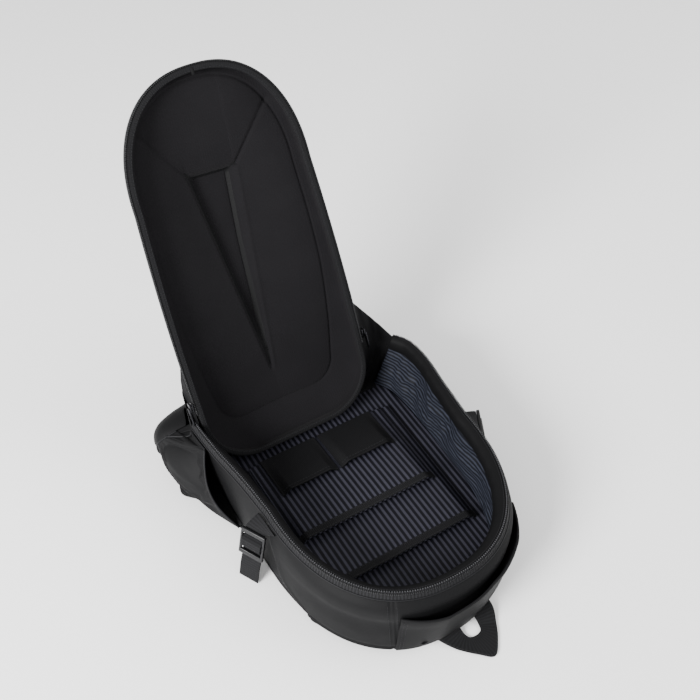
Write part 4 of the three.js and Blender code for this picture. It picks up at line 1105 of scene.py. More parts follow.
# height above the lid's lower edge, how much shallower the floor is at its edge than beside the wedge
FACET_RISE = [(0, 3.0), (60, 8.0), (130, 14.0), (200, 17.0), (300, 16.5), (441, 16.0)]
FLOOR_HALF_WIDTH, FACET_RISE_ABOVE, FACET_RISE_MOST = 93.0, 0.011, 1.15
GROOVE_DEPTH, GROOVE_HALF_WIDTH, BLUNT_BANK = 2.3, 1.7, 7.0
TOP_LINE_STRENGTH, LEFT_CREASE_STRENGTH = 1.2, 0.5
RIDGE_HEIGHT, RIDGE_WIDTH, RIDGE_AWAY = 0.8, 2.0, 1.8


def beside(point, start, end):
    """Signed distance from a line, positive on its left, and the share along it."""
    way = end - start
    away = point - start
    return (way.x * away.y - way.y * away.x) / way.length, away.dot(way) / way.length_squared


def groove(distance, share, start=0.0, end=1.0):
    """Depth of a pressed line at a distance from it, which fades out past its start and end."""
    inside = ease((share - start) * 14 + 1) * ease((end - share) * 14 + 1)
    return GROOVE_DEPTH * bell(distance, GROOVE_HALF_WIDTH) * inside


def lid_relief(u, v, crisp=1.0):
    """Depth added to the lid's floor: facets round a sunken wedge, and pressed lines on them if crisp is 1."""
    point = Vector((u, v))
    f = (v - WEDGE_TIP.y) / (WEDGE_LEFT.y - WEDGE_TIP.y)
    f = min(max(f, 0.0), 1.0)
    left, right = mix(WEDGE_TIP.x, WEDGE_LEFT.x, f), mix(WEDGE_TIP.x, WEDGE_RIGHT.x, f)
    if u > right:
        side = (u - right) / (FLOOR_HALF_WIDTH - right)
        crease = CREASE_RIGHT - WEDGE_RIGHT
        above = v - WEDGE_RIGHT.y - max(u - WEDGE_RIGHT.x, 0.0) * crease.y / crease.x
    else:
        side = max(left - u, 0.0) / (FLOOR_HALF_WIDTH + left)
        crease = CREASE_LEFT - WEDGE_LEFT
        above = v - WEDGE_LEFT.y - max(WEDGE_LEFT.x - u, 0.0) * crease.y / -crease.x
    rise = from_table(FACET_RISE, v)
    facet = rise * side
    if above > 0:
        facet = rise * min(side + above * FACET_RISE_ABOVE, FACET_RISE_MOST)
    d_left, along_left = beside(point, WEDGE_TIP, WEDGE_LEFT)
    d_right, along_right = beside(point, WEDGE_RIGHT, WEDGE_TIP)
    d_top, along_top = beside(point, WEDGE_LEFT, WEDGE_RIGHT)
    blunt = (1 - crisp) * BLUNT_BANK
    right_bank = WEDGE_BANK_RIGHT * mix(0.12, 1.0, min(f * 1.5, 1.0))
    bank = min(
        -d_left / (WEDGE_BANK_LEFT + blunt), -d_right / (right_bank + blunt), -d_top / (WEDGE_BANK_TOP + blunt)
    )
    bank = min(max(bank, 0.0), 1.0)
    depth = WEDGE_DEPTH * ease(f * 4) * mix(bank, ease(bank), 0.35 + 0.65 * (1 - crisp)) - facet
    if not crisp:
        return depth
    depth += groove(d_left, along_left, 0.09)
    depth += groove(d_right + right_bank, along_right, 0.07, 0.9)
    depth += TOP_LINE_STRENGTH * groove(d_top, along_top)
    creases = ((WEDGE_RIGHT, CREASE_RIGHT, 1.0), (WEDGE_LEFT, CREASE_LEFT, LEFT_CREASE_STRENGTH))
    for start, end, strength in creases:
        distance, share = beside(point, start, end)
        depth += strength * groove(distance, share)
    ridge = RIDGE_HEIGHT * bell(d_right - RIDGE_AWAY, RIDGE_WIDTH)
    return depth - ridge * ease(along_right * 20) * ease((0.97 - along_right) * 20)


def lid_wall_point(q, side, share, crisp=1.0):
    """Point of the sloping wall, share 0 at the skirt to 1 at the floor."""
    rim = lid_rim(q, side, 0, 0)
    width = from_table(LID_WALL, rim.z)
    foot = lid_rim(q, side, -width, 0)
    floor = mix(LID_DEPTH_BOTTOM, LID_DEPTH_TOP, foot.z / LID_LENGTH) + lid_relief(foot.x, foot.z, crisp)
    point = lid_rim(q, side, -width * share, 0)
    point.y = LID_SKIRT + (floor - LID_SKIRT) * share**LID_WALL_CURVE
    return point


def lid_floor_point(q, side, share, crisp=1.0):
    """Point of the floor, share 0 at the sloping wall's foot to 1 on the lid's middle line."""
    edge = lid_wall_point(q, side, 1.0, crisp)
    point = edge.lerp(Vector((0, 0, min(max(edge.z, LID_HALF_BOTTOM), ARCH_V))), share)
    depth = mix(LID_DEPTH_BOTTOM, LID_DEPTH_TOP, point.z / LID_LENGTH)
    line_depth = crisp * FLOOR_LINE_DEPTH * mix(0.2, 1.0, ease((point.x + 60) / 60))
    point.y = depth + lid_relief(point.x, point.z, crisp) + line_depth * bell(share - 0.012, 0.014)
    return point


LID_SKIRT_ROWS, LID_WALL_ROWS, LID_FLOOR_ROWS = 4, 14, 84
FLOOR_LINE_DEPTH, LID_FACE_THICK = 1.6, 1.0
LID_ROWS = LID_SKIRT_ROWS + LID_WALL_ROWS + LID_FLOOR_ROWS


def lid_face(u, v, crisp=1.0):
    """The whole sheet: u once round the rim, v from the rim over skirt, wall and floor to the middle line."""
    q, side = lid_loop(u)
    row = v * LID_ROWS
    if row <= LID_SKIRT_ROWS:
        point = lid_rim(q, side, 0, LID_SKIRT * row / LID_SKIRT_ROWS)
    elif row <= LID_SKIRT_ROWS + LID_WALL_ROWS:
        point = lid_wall_point(q, side, ((row - LID_SKIRT_ROWS) / LID_WALL_ROWS) ** 1.3, crisp)
    else:
        point = lid_floor_point(q, side, (row - LID_SKIRT_ROWS - LID_WALL_ROWS) / LID_FLOOR_ROWS, crisp)
    soft = 0.5 * noise.noise(Vector((point.x / 42.0, point.z / 48.0, 9.0)))
    point.y += soft * ease((row - 2) / 8)
    return lid_to_bag(point)


lid_shell, _, _ = cloth_piece(
    "lid_shell_moulding", 420, LID_ROWS, lid_face, LID_FACE_THICK, [KNIT, COATED], weld=True, second=True
)
lid_shell.modifiers["thickness"].use_even_offset = False

# %% [markdown]
# The outer face is a sheet of its own. It lies one foam thickness behind a blunter copy of the inner face,
# because pressed lines don't come through the foam. Both sheets get their thickness without the even offset,
# which would throw spikes out of the sharp pressed lines.

# %% Outer face of the lid
bm, *_ = sheet_mesh(300, LID_ROWS // 2, lambda u, v: lid_face(u, v, 0.0), weld=True)
bm.normal_update()
for vert in bm.verts:
    vert.co -= vert.normal * LID_THICK * MM
bmesh.ops.smooth_vert(bm, verts=bm.verts, factor=0.5, use_axis_x=True, use_axis_y=True, use_axis_z=True)
bmesh.ops.reverse_faces(bm, faces=bm.faces)
lid_outer = thicken(link("lid_shell_outer", bm, COATED), LID_FACE_THICK)
lid_outer.modifiers["thickness"].use_even_offset = False
for piece in (lid_shell, lid_outer):
    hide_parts("lid_shell")

# %% [markdown]
# The lid's cut edge is wrapped in grosgrain binding, a flat oval tube here, which is sewn with one row of
# stitches and joined at the apex. Outside it runs the lid's half of the zip, a tape with its row of teeth.

# %% Binding, tape and teeth round the lid
BINDING_WIDTH, BINDING_THICK, BINDING_PROUD = 7, 2.6, 1
LID_TAPE_WIDTH, LID_TAPE_THICK, LID_TAPE_START_V = 8, 1.6, 74


def oval(angle, half_a, half_b, power=2.6):
    """Point of a squared oval, a superellipse of the given power."""
    c, s = math.cos(angle), math.sin(angle)
    return (
        math.copysign(abs(c) ** (2 / power), c) * half_a,
        math.copysign(abs(s) ** (2 / power), s) * half_b,
    )


def binding_face(u, v):
    q, side = lid_loop(u)
    a, b = oval(-2 * math.pi * v, BINDING_WIDTH / 2, BINDING_THICK / 2)
    middle = LID_THICK + BINDING_PROUD - BINDING_WIDTH / 2
    return lid_to_bag(lid_rim(q, side, middle + a, -CLEAR - BINDING_THICK / 2 + b))


bm, *_ = sheet_mesh(420, 14, binding_face, weld=True)
bmesh.ops.recalc_face_normals(bm, faces=bm.faces)
lid_binding = link("lid_rim_binding", bm, BINDING)
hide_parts("lid_binding")

lid_towards_viewer = lid_to_bag((0, -1, 0)) - lid_to_bag((0, 0, 0))


def lid_line(out, w):
    """Returns the curve round the rim, out millimetres outside it and w into the shell."""

    def curve(share):
        q, side = lid_loop(share)
        return lid_to_bag(lid_rim(q, side, out, w))

    return curve


binding_stitches = block_row(
    "lid_binding_stitches",
    along_line(lid_line(-0.4, -CLEAR - BINDING_THICK), 3.4, lambda f: lid_towards_viewer, samples=900),
    (2.4, 0.5, 0.45), 0.14, THREAD,
)
apex = lid_line(-1.0, -CLEAR - BINDING_THICK)
join_place = (apex(0.5), apex(0.503) - apex(0.497), lid_towards_viewer)
binding_join = block_row("lid_binding_join", [join_place], (3.0, 7.4, 0.9), 0.3, BINDING)

TAPE_START = q_at_v(LID_TAPE_START_V)
tape_lo = next(n for n in range(1000) if lid_q_at(n / 1000) >= TAPE_START) / 2000


def lid_tape_place(u, v):
    q, side = lid_loop(mix(tape_lo, 1 - tape_lo, u))
    out = LID_THICK + LID_TAPE_THICK + mix(CLEAR, BINDING_PROUD + 0.1, v)
    return lid_to_bag(lid_rim(q, side, out, mix(LID_TAPE_WIDTH, 0, v) - BINDING_THICK))


lid_tape, tape_run, _ = cloth_piece(
    "lid_zip_tape_cloth", 360, 4, lid_tape_place, LID_TAPE_THICK, [ZIP_TAPE]
)
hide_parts("lid_zip_tape")

TEETH_OUT = LID_THICK + BINDING_PROUD + LID_TAPE_THICK * 0.5
teeth_line = lid_line(TEETH_OUT, -BINDING_THICK - 0.5)
teeth_places = along_line(teeth_line, 2.1, lambda f: lid_towards_viewer, tape_lo, 1 - tape_lo, 900)
# the lid's teeth use the darker copy of the coil: painted shade
lid_teeth = block_row("lid_zip_teeth", teeth_places, (1.2, 1.5, 1.4), 0.35, COIL_SHADED)

# %% [markdown]
# ## Bottom end and side pockets
# Behind the lid the bag's bottom end is a padded half-roll of coated fabric, open towards the compartment.
# Its two ends are domed. The lid leans back over it, so its open edge stops short just behind the lid.

# %% Rounded bottom end
ROLL_CENTRE_X, ROLL_HALF_LENGTH, ROLL_CENTRE_Y, ROLL_CENTRE_Z = -2, 164, 175, 46
ROLL_RADIUS_Y, ROLL_RADIUS_Z, ROLL_POWER, ROLL_THICK = 38, 36.5, 3.2, 3
ROLL_OPEN_DEG, ROLL_FOOT_DEG, ROLL_STEP_WIDTH, WEDGE_CLEAR = 110, -88, 10, 5


def roll_point(turn, deg, inset=0.0):
    share = math.copysign(abs(math.sin(turn)) ** (2 / ROLL_POWER), turn)
    scale = max(math.cos(turn), 0.0) ** (2 / ROLL_POWER)
    angle = math.radians(deg)
    return Vector((
        ROLL_CENTRE_X + (ROLL_HALF_LENGTH - inset) * share,
        ROLL_CENTRE_Y + (ROLL_RADIUS_Y - inset) * scale * math.cos(angle),
        ROLL_CENTRE_Z + (ROLL_RADIUS_Z - inset) * scale * math.sin(angle),
    ))


def roll_turn_at(x):
    share = min(abs(x - ROLL_CENTRE_X) / ROLL_HALF_LENGTH, 1.0)
    return math.copysign(math.asin(share ** (ROLL_POWER / 2)), x - ROLL_CENTRE_X)


def lid_contact_deg():
    """Angle up to which the roll can reach before it would touch the lid's outer face."""
    deg = float(ROLL_OPEN_DEG)
    while deg > 0:
        point = roll_point(0, deg, ROLL_THICK)
        reach = (point.y - LID_HINGE_Y) * math.cos(LID_TILT) - (point.z - LID_HINGE_Z) * math.sin(LID_TILT)
        if reach > LID_DEPTH_BOTTOM + LID_THICK + WEDGE_CLEAR + 2 * CLEAR:
            return deg
        deg -= 0.5
    return 0.0


CONTACT_DEG = lid_contact_deg()


def roll_top_deg(x):
    behind = 1 - ease((abs(x - LID_X) - LID_HALF_BOTTOM - 2 * LID_THICK) / ROLL_STEP_WIDTH)
    return mix(ROLL_OPEN_DEG, CONTACT_DEG, behind)


def roll_face(u, v):
    turn = (0.5 - u) * math.pi
    x = roll_point(turn, 0).x
    deg = mix(ROLL_FOOT_DEG, roll_top_deg(x), v)
    point = roll_point(turn, deg)
    held = math.sin(math.pi * min(max(v, 0.0), 1.0)) ** 0.5
    slack = 1.3 * noise.noise(point / 46.0) + 0.5 * noise.noise(Vector((point.x / 13.0, deg / 30.0, 2.0)))
    return roll_point(turn, deg, -slack * held)


bottom_roll, *_ = cloth_piece(
    "bottom_roll_cover", 240, 64, roll_face, ROLL_THICK, [COATED, OXFORD], weld=True, second=True
)
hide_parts("base_cover")

# %% [markdown]
# At each side a pocket cloth runs from a slanted mouth on the wall to the roll's domed end. Cloth pulled from
# an edge keeps faint tension folds, and the solver lets it sag by a few millimetres. Its mouth is bound and its
# sewn edge is piped. Small black cloths close the corners that one could look through: at the wall's end,
# over the back's rounded corner, at the pocket's upper corner and at its foot.

# %% Side pockets
SIDE_MOUTH_LOW_Y, SIDE_MOUTH_HIGH_Y, SIDE_MOUTH_GAPE = 48, 116, 14
SIDE_POCKET_BULGE, SIDE_POCKET_THICK = 18, 2
POCKET_GROWTH, POCKET_MOTION = 0.02, 5


def pocket_mouth(side, f, out=0.0):
    """The pocket's open edge on the wall, f 0 at its foot to 1 at the rim."""
    y = mix(SIDE_MOUTH_LOW_Y, SIDE_MOUTH_HIGH_Y, f)
    return wall_point(t_at_y(side, y), f * 0.96, 2 * CLEAR + SIDE_MOUTH_GAPE * math.sin(math.pi * f) + out)


def pocket_edge(side, f, out=0.0):
    """The pocket's sewn edge along the roll's domed end, f 0 at its foot to 1 at the top."""
    wall_end_x = plan_point(RIM_PLAN, 0 if side < 0 else 1).x
    upper = f > 0.5
    end_x = wall_end_x + side * SIDE_MOUTH_GAPE if upper else ROLL_CENTRE_X + side * ROLL_HALF_LENGTH * 0.8
    turn = mix(side * math.pi / 2, roll_turn_at(end_x), abs(2 * f - 1))
    point = roll_point(turn, ROLL_OPEN_DEG if upper else ROLL_FOOT_DEG, SIDE_POCKET_THICK - out)
    point.y -= 2 * CLEAR
    return point


def side_pocket_point(side, f, g, out=0.0):
    """The pocket's cloth, g 0 at its mouth to 1 at its sewn edge."""
    point = pocket_mouth(side, f, out).lerp(pocket_edge(side, f, out), g)
    point.x += side * SIDE_POCKET_BULGE * math.sin(math.pi * g) * (1 - f) ** 0.5
    pull = noise.noise(Vector((f * 3.2 - g * 1.6, g * 1.1, 5.0 + side)))
    fine = noise.noise(Vector((f * 8.0 - g * 4.0, g * 3.0, 11.0 + side)))
    held = math.sin(math.pi * g) ** 0.6 * math.sin(math.pi * min(max(f, 0.02), 0.98)) ** 0.3
    point.x += side * held * (2.4 * pull + 0.8 * fine)
    return point


def pocket_corner(side, u, v, out=0.0):
    """Cloth that closes the pocket's upper corner, from the roll's edge (v 0) to the wall's rim (v 1)."""
    wall_end_x = plan_point(RIM_PLAN, 0 if side < 0 else 1).x
    roll_x = mix(wall_end_x - side * 5, ROLL_CENTRE_X + side * ROLL_HALF_LENGTH * 0.93, u)
    roll_edge = roll_point(roll_turn_at(roll_x), ROLL_OPEN_DEG, SIDE_POCKET_THICK - 1.5 - out)
    y = mix(WALL_END_Y, SIDE_MOUTH_HIGH_Y, u)
    rim = wall_point(t_at_y(side, y), 0.965, SIDE_POCKET_THICK + out)
    point = roll_edge.lerp(rim, v)
    point.z -= 3.0 * math.sin(math.pi * v) * math.sin(math.pi * u)
    return point


def pocket_inside(side, u, v):
    """Black cloth that closes the pocket's foot, from its outer cloth (v 0) to the wall (v 1)."""
    outer = side_pocket_point(side, 0.0, u, 0.5)
    y = mix(SIDE_MOUTH_LOW_Y, WALL_END_Y, u)
    return outer.lerp(wall_point(t_at_y(side, y), 0.03, -WALL_THICK), v)


def corner_lining(side, u, up):
    """Black cloth from the wall's end (u 0) into the roll's domed end (u 1)."""
    wall_end = wall_point(0 if side < 0 else 1, mix(0.0, 0.97, up), -WALL_THICK)
    return wall_end.lerp(roll_point(side * 1.2, mix(ROLL_FOOT_DEG, ROLL_OPEN_DEG, up), ROLL_THICK + 1), u)


CORNER_REACH_IN, CORNER_REACH_FRONT, CORNER_REACH_BEHIND, CORNER_RAISE = 26, 10, 6, 0.9


def corner_patch(side, u, v):
    """Black cloth over the back's rounded corner, inwards (u 0) to outwards (u 1), front to bottom end."""
    wall_end = wall_point(0 if side < 0 else 1, 0.0)
    level = LINING_HIGH + CORNER_RAISE
    inner = wall_end.x - side * CORNER_REACH_IN
    front_y = WALL_END_Y - CORNER_REACH_FRONT
    front = Vector((inner, front_y, level)).lerp(Vector((wall_end.x - side * WALL_THICK, front_y, level)), u)
    outer = pocket_edge(side, 0.0)
    back = Vector((inner, BACK_END_Y + CORNER_REACH_BEHIND, level))
    back = back.lerp(Vector((outer.x, outer.y, outer.z + 1)), u)
    return front.lerp(back, v)


for word, side in (("left", -1), ("right", 1)):
    lining, *lining_cut = cloth_piece(
        f"corner_lining_{word}", 16, 24,
        lambda u, v: corner_lining(side, u if side > 0 else 1 - u, v), 0.8, [OXFORD],
    )
    patch, *patch_cut = cloth_piece(
        f"corner_patch_{word}", 16, 16,
        lambda u, v: corner_patch(side, u if side > 0 else 1 - u, v), 0.6, [OXFORD],
    )
    for piece, cut in ((lining, lining_cut), (patch, patch_cut)):
        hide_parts("base_cover")
    plain = lambda u, v: side_pocket_point(side, v, u if side > 0 else 1 - u, SIDE_POCKET_THICK)
    slack = settle(plain, 44, 30, POCKET_GROWTH, 20, stiffness=15.0, bending=1.5, gravity=0.6)
    pocket, *flat = cloth_piece(
        f"side_pocket_cloth_{word}", 90, 60,
        lambda u, v: plain(u, v) + capped(slack(u, v), POCKET_MOTION),
        SIDE_POCKET_THICK - 0.4, [COATED, OXFORD], second=True,
    )
    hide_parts(f"side_pocket_{word}")
    corner, *corner_cut = cloth_piece(
        f"side_pocket_corner_{word}", 24, 24,
        lambda u, v: pocket_corner(side, u, v if side < 0 else 1 - v),
        SIDE_POCKET_THICK - 0.4, [COATED, OXFORD], second=True,
    )
    inside, *inside_cut = cloth_piece(
        f"side_pocket_inside_{word}", 40, 12,
        lambda u, v: pocket_inside(side, u, v if side < 0 else 1 - v), 0.8, [OXFORD],
    )
    for piece, cut in ((corner, corner_cut), (inside, inside_cut)):
        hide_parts(f"side_pocket_{word}")
    mouth = [pocket_mouth(side, n / 60, SIDE_POCKET_THICK / 2) for n in range(61)]
    mouth += [pocket_corner(side, n / 12, 1 - n / 12, SIDE_POCKET_THICK / 2) for n in range(1, 13)]
    binding = tube_piece(f"side_pocket_binding_{word}", mouth, 1.3, COATED_WELT)
    seam = [pocket_edge(side, n / 60, SIDE_POCKET_THICK + 0.2) for n in range(61)]
    piping = tube_piece(f"side_pocket_seam_{word}", seam, 1.0, COATED_WELT)

# %% [markdown]
# ## Carry band and haul loop
# The carry band is coated fabric over foam, sewn flat to the wall at its two ends and free between them, so
# that a hand goes in behind it from above. A cord fills the seam along its foot.

# %% Carry band
HANDLE_START, HANDLE_END, HANDLE_HEIGHT, HANDLE_THICK = 0.425, 0.668, 55, 4
HANDLE_STANDOFF, HANDLE_FOOT_STANDOFF, HANDLE_LIFT, HANDLE_SPRING = 6, 0, 4, 1.5


def handle_point(share, rise, out=0.0):
    t = mix(HANDLE_START, HANDLE_END, share)
    free = min(1.0, HANDLE_SPRING * math.sin(math.pi * share))
    up = (HANDLE_LIFT + HANDLE_HEIGHT * rise) / WALL_HEIGHT
    normal = plan_normal(BACK_PLAN, t)
    leaned = (wall_point(t, up) - wall_point(t, 0)).xy.dot(normal)
    lift = max(-leaned, 0.0) + mix(HANDLE_FOOT_STANDOFF, HANDLE_STANDOFF, rise)
    return wall_point(t, up, 2 * CLEAR + free * lift + out)


def handle_face(u, v):
    crown = math.sin(math.pi * v) ** 0.5
    soft = 0.8 * noise.noise(Vector((u * 7.0, v * 1.6, 6.0)))
    return handle_point(u, v, HANDLE_THICK - 1.0 + (1.0 + soft) * crown)


handle, *_ = cloth_piece(
    "carry_band_cover", 220, 26, handle_face, HANDLE_THICK - 1.2, [COATED, OXFORD], second=True, bevel=0.9
)
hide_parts("handle_band")
foot_line = [handle_point(n / 60, 0.03, -1.0) for n in range(1, 60)]
band_foot = tube_piece("carry_band_foot_cord", foot_line, 1.7, OXFORD)
end_rows = []
for share in (0.018, 0.035, 0.965, 0.982):
    line = lambda f: handle_point(share, mix(0.05, 0.95, f), HANDLE_THICK)
    outward = lambda f: handle_point(share, 0.5, 1.0) - handle_point(share, 0.5, 0.0)
    end_rows += along_line(line, 3.2, outward)
band_stitches = block_row("carry_band_stitches", end_rows, (2.3, 0.55, 0.5), 0.15, THREAD)
seam_rows = []
for seam, shift in ((0, -0.0034), (1, 0.0034)):
    line = lambda f: wall_point(seam_t(seam, f) + shift, f, skin_out(seam_t(seam, f) + shift, f) + 0.1)
    outward = lambda f: wall_point(seam_t(seam, f), f, 1.0) - wall_point(seam_t(seam, f), f, 0.0)
    seam_rows += along_line(line, 3.2, outward, 0.08, 0.94)
wall_stitches = block_row("wall_seam_stitches", seam_rows, (2.3, 0.5, 0.45), 0.14, THREAD)

# %% [markdown]
# The haul loop is one length of wide webbing folded to a point. It is sewn in under the wall and has dropped
# onto the surface.

# %% Haul loop
HAUL_START_X, HAUL_SPAN, HAUL_REACH, HAUL_THICK = -8, 76, 44, 2.4
# place along the loop, inner x, inner y, outer x, outer y, how far it has dropped
HAUL_PLAN = [
    (0, 0.38, -0.36, 0.0, -0.36, 0.0),
    (1, 0.4, -0.05, 0.03, -0.02, 0.35),
    (2, 0.42, 0.18, 0.2, 0.4, 1.0),
    (3, 0.46, 0.31, 0.42, 0.78, 1.0),
    (4, 0.55, 0.34, 0.6, 1.0, 1.0),
    (5, 0.64, 0.29, 0.78, 0.68, 1.0),
    (6, 0.67, 0.16, 0.9, 0.34, 1.0),
    (7, 0.67, -0.05, 0.99, -0.02, 0.35),
    (8, 0.66, -0.36, 1.0, -0.36, 0.0),
]


def haul_point(place, across, lift=0.0):
    inner_x, inner_y, outer_x, outer_y, drop = [from_table(HAUL_PLAN, place, k) for k in range(1, 6)]
    x = HAUL_START_X + HAUL_SPAN * mix(inner_x, outer_x, across)
    y = BACK_TOP_Y - HAUL_REACH * mix(inner_y, outer_y, across)
    tucked = BACK_LOW - CLEAR - HAUL_THICK
    return Vector((x, y, mix(tucked, CLEAR, min(max(drop, 0.0), 1.0)) + lift))


LOOP_END = HAUL_PLAN[-1][0]
haul, *_ = cloth_piece(
    "haul_loop_webbing", 120, 12, lambda u, v: haul_point(LOOP_END * (1 - u), v, HAUL_THICK),
    HAUL_THICK - 0.3, [WEBBING], bevel=0.5,
)
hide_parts("haul_loop")
haul_rows = []
for across in (0.08, 0.92):
    line = lambda f: haul_point(LOOP_END * f, across, HAUL_THICK)
    haul_rows += along_line(line, 3.4, lambda f: Vector((0, 0, 1)), 0.06, 0.94)
haul_stitches = block_row("haul_loop_stitches", haul_rows, (2.4, 0.5, 0.4), 0.13, THREAD)

# %% [markdown]
# ## Side straps with ladder buckles
# A ladder buckle is a frame with three bars. The webbing comes from the rim, goes behind the top bar, over
# the middle one and behind the last, and its free tail hangs down. The frame starts as a grid of 3 by 5 faces
# whose lines are the bars' edges; two faces are taken out and the rest is made solid and bevelled.

# %% Buckle axes and frame
WEB_WIDTH, WEB_THICK, BUCKLE_WIDTH, BUCKLE_HEIGHT, BUCKLE_THICK, BUCKLE_BAR = 25, 1.6, 31, 36, 4, 5.5
BUCKLE_Y, BUCKLE_TURN, BUCKLE_SPLAY, BUCKLE_DROP, TAIL_LENGTH, STRAP_SEAM_UP = -8, 26, 0.14, 12, 36, 0.96
SLOT = (BUCKLE_HEIGHT - 3 * BUCKLE_BAR) / 2


def buckle_axes(side):
    t = t_at_y(side, BUCKLE_Y)
    normal = plan_normal(RIM_PLAN, t).to_3d()
    normal.rotate(Matrix.Rotation(math.radians(side * -BUCKLE_TURN), 3, "Z"))
    lean = (plan_point(BACK_PLAN, t) - plan_point(RIM_PLAN, t)).dot(plan_normal(BACK_PLAN, t))
    splay = BUCKLE_SPLAY + max(lean, 0.0) / WALL_HEIGHT
    down = (Vector((0, 0, -1)) + normal * splay).normalized()
    across = down.cross(normal).normalized()
    front = across.cross(down)
    swell = max(row[1] for row in WALL_SECTION)
    turned_in = BUCKLE_WIDTH / 2 * math.sin(math.radians(BUCKLE_TURN))
    stand = 4 * CLEAR + WEB_THICK + BUCKLE_THICK + swell + turned_in
    top = wall_point(t, 1.0, stand)
    top.z = RIM_HIGH - BUCKLE_DROP
    return across, down, front, top


def on_buckle(axes, a, d, n):
    """Point a across, d down and n in front of the middle of the buckle's top edge."""
    across, down, front, top = axes
    return top + across * a + down * d + front * n


def ladder_buckle(name, axes):
    half, slot_half = BUCKLE_WIDTH / 2, WEB_WIDTH / 2 + CLEAR
    xs = (-half, -slot_half, slot_half, half)
    ds = (0, BUCKLE_BAR, BUCKLE_BAR + SLOT, 2 * BUCKLE_BAR + SLOT, 2 * BUCKLE_BAR + 2 * SLOT, BUCKLE_HEIGHT)
    bm = bmesh.new()
    bmesh.ops.create_grid(bm, x_segments=3, y_segments=5, size=0.5)
    middles = [(face, face.calc_center_median()) for face in bm.faces]
    slots = [face for face, middle in middles if abs(middle.x) < 0.1 and 0.1 < abs(middle.y) < 0.3]
    bmesh.ops.delete(bm, geom=slots, context="FACES")
    for vert in bm.verts:
        i, j = round((vert.co.x + 0.5) * 3), round((vert.co.y + 0.5) * 5)
        vert.co = Vector((xs[i], ds[j], 0.0))
    bmesh.ops.solidify(bm, geom=bm.faces[:], thickness=BUCKLE_THICK)
    middle = sum((v.co.z for v in bm.verts)) / len(bm.verts)
    for vert in bm.verts:
        vert.co.z -= middle
    bmesh.ops.dissolve_limit(bm, angle_limit=0.01, verts=bm.verts, edges=bm.edges)
    bmesh.ops.recalc_face_normals(bm, faces=bm.faces)
    sharp = [e for e in bm.edges if len(e.link_faces) == 2 and e.calc_face_angle() > 0.5]
    bmesh.ops.bevel(bm, geom=sharp, offset=1.0, segments=3, profile=0.5, affect="EDGES", material=-1)
    for vert in bm.verts:
        vert.co = to_row(on_buckle(axes, *vert.co))
    bmesh.ops.recalc_face_normals(bm, faces=bm.faces)
    return link(name, bm, ACETAL)


def strap_path():
    """(down, in front) of the webbing's middle: behind the top bar, over the middle one, behind the last."""
    lane = BUCKLE_THICK / 2 + CLEAR + WEB_THICK / 2
    lead = SLOT / 2 - WEB_THICK
    return [
        (-WEB_THICK, -lane),
        (BUCKLE_BAR, -lane),
        (BUCKLE_BAR + SLOT / 2 - lead / 2, -lane),
        (BUCKLE_BAR + SLOT - lead / 2, lane),
        (BUCKLE_BAR * 1.5 + SLOT, lane),
        (2 * BUCKLE_BAR + SLOT + lead / 2, lane),
        (2 * BUCKLE_BAR + 1.5 * SLOT + lead / 2, -lane),
        (BUCKLE_HEIGHT, -lane),
        (BUCKLE_HEIGHT + TAIL_LENGTH / 2, -lane + WEB_THICK),
        (BUCKLE_HEIGHT + TAIL_LENGTH, -lane + WEB_THICK / 2),
    ]


def strap_face(side, axes, finer=6):
    """Returns place(u, v) for the webbing's middle surface, rounded a little where it turns round a bar."""
    forwards = math.copysign(1, axes[0].y)
    edges = [-WEB_WIDTH / 2, 0, WEB_WIDTH / 2]
    rows = [[wall_point(t_at_y(side, BUCKLE_Y + a), STRAP_SEAM_UP, CLEAR + WEB_THICK / 2) for a in edges]]
    rows += [[on_buckle(axes, forwards * a, d, n) for a in edges] for d, n in strap_path()]
    dense = []
    for start, end in zip(rows, rows[1:]):
        dense += [[p.lerp(q, k / finer) for p, q in zip(start, end)] for k in range(finer)]
    dense.append(rows[-1])
    for _ in range(2):
        inner = [
            [b * 0.5 + (a + c) * 0.25 for a, b, c in zip(dense[i - 1], dense[i], dense[i + 1])]
            for i in range(1, len(dense) - 1)
        ]
        dense = [dense[0]] + inner + [dense[-1]]
    count = len(dense) - 1

    def place(u, v):
        row = dense[round(u * count)]
        x = v * 2
        return row[0].lerp(row[1], x) if x <= 1 else row[1].lerp(row[2], x - 1)

    return place, count


for word, side in (("left", -1), ("right", 1)):
    axes = buckle_axes(side)
    buckle = ladder_buckle(f"ladder_buckle_frame_{word}", axes)
    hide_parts(f"ladder_buckle_{word}")
    place, count = strap_face(side, axes)
    bm, run, width = sheet_mesh(count, 8, place)
    strap = link(f"side_strap_webbing_{word}", bm, WEBBING)
    thicken(strap, WEB_THICK, offset=0.0, bevel=0.3)
    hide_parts(f"compression_strap_{word}")
    print(f"side strap {word}: {run:.0f} mm of webbing")

# %% [markdown]
# ## Hinge, gussets and zip sliders
# The lid hangs on a strip of cloth, and a triangle of cloth at each side stops it from falling open. The
# zip's two sliders stand at the ends of its tape, each with a pull tab.

# %% Gussets and hinge strip
GUSSET_THICK, GUSSET_TOP_V, GUSSET_END_Q, GUSSET_FOOT, GUSSET_SAG, SEAM_DEPTH = 1.6, 130, 1.2, 0.14, 10, 9
HINGE_THICK, HINGE_HALF_WIDTH, HINGE_RUN = 1.6, 44, 16
TRIANGLE_SHARE = 0.5


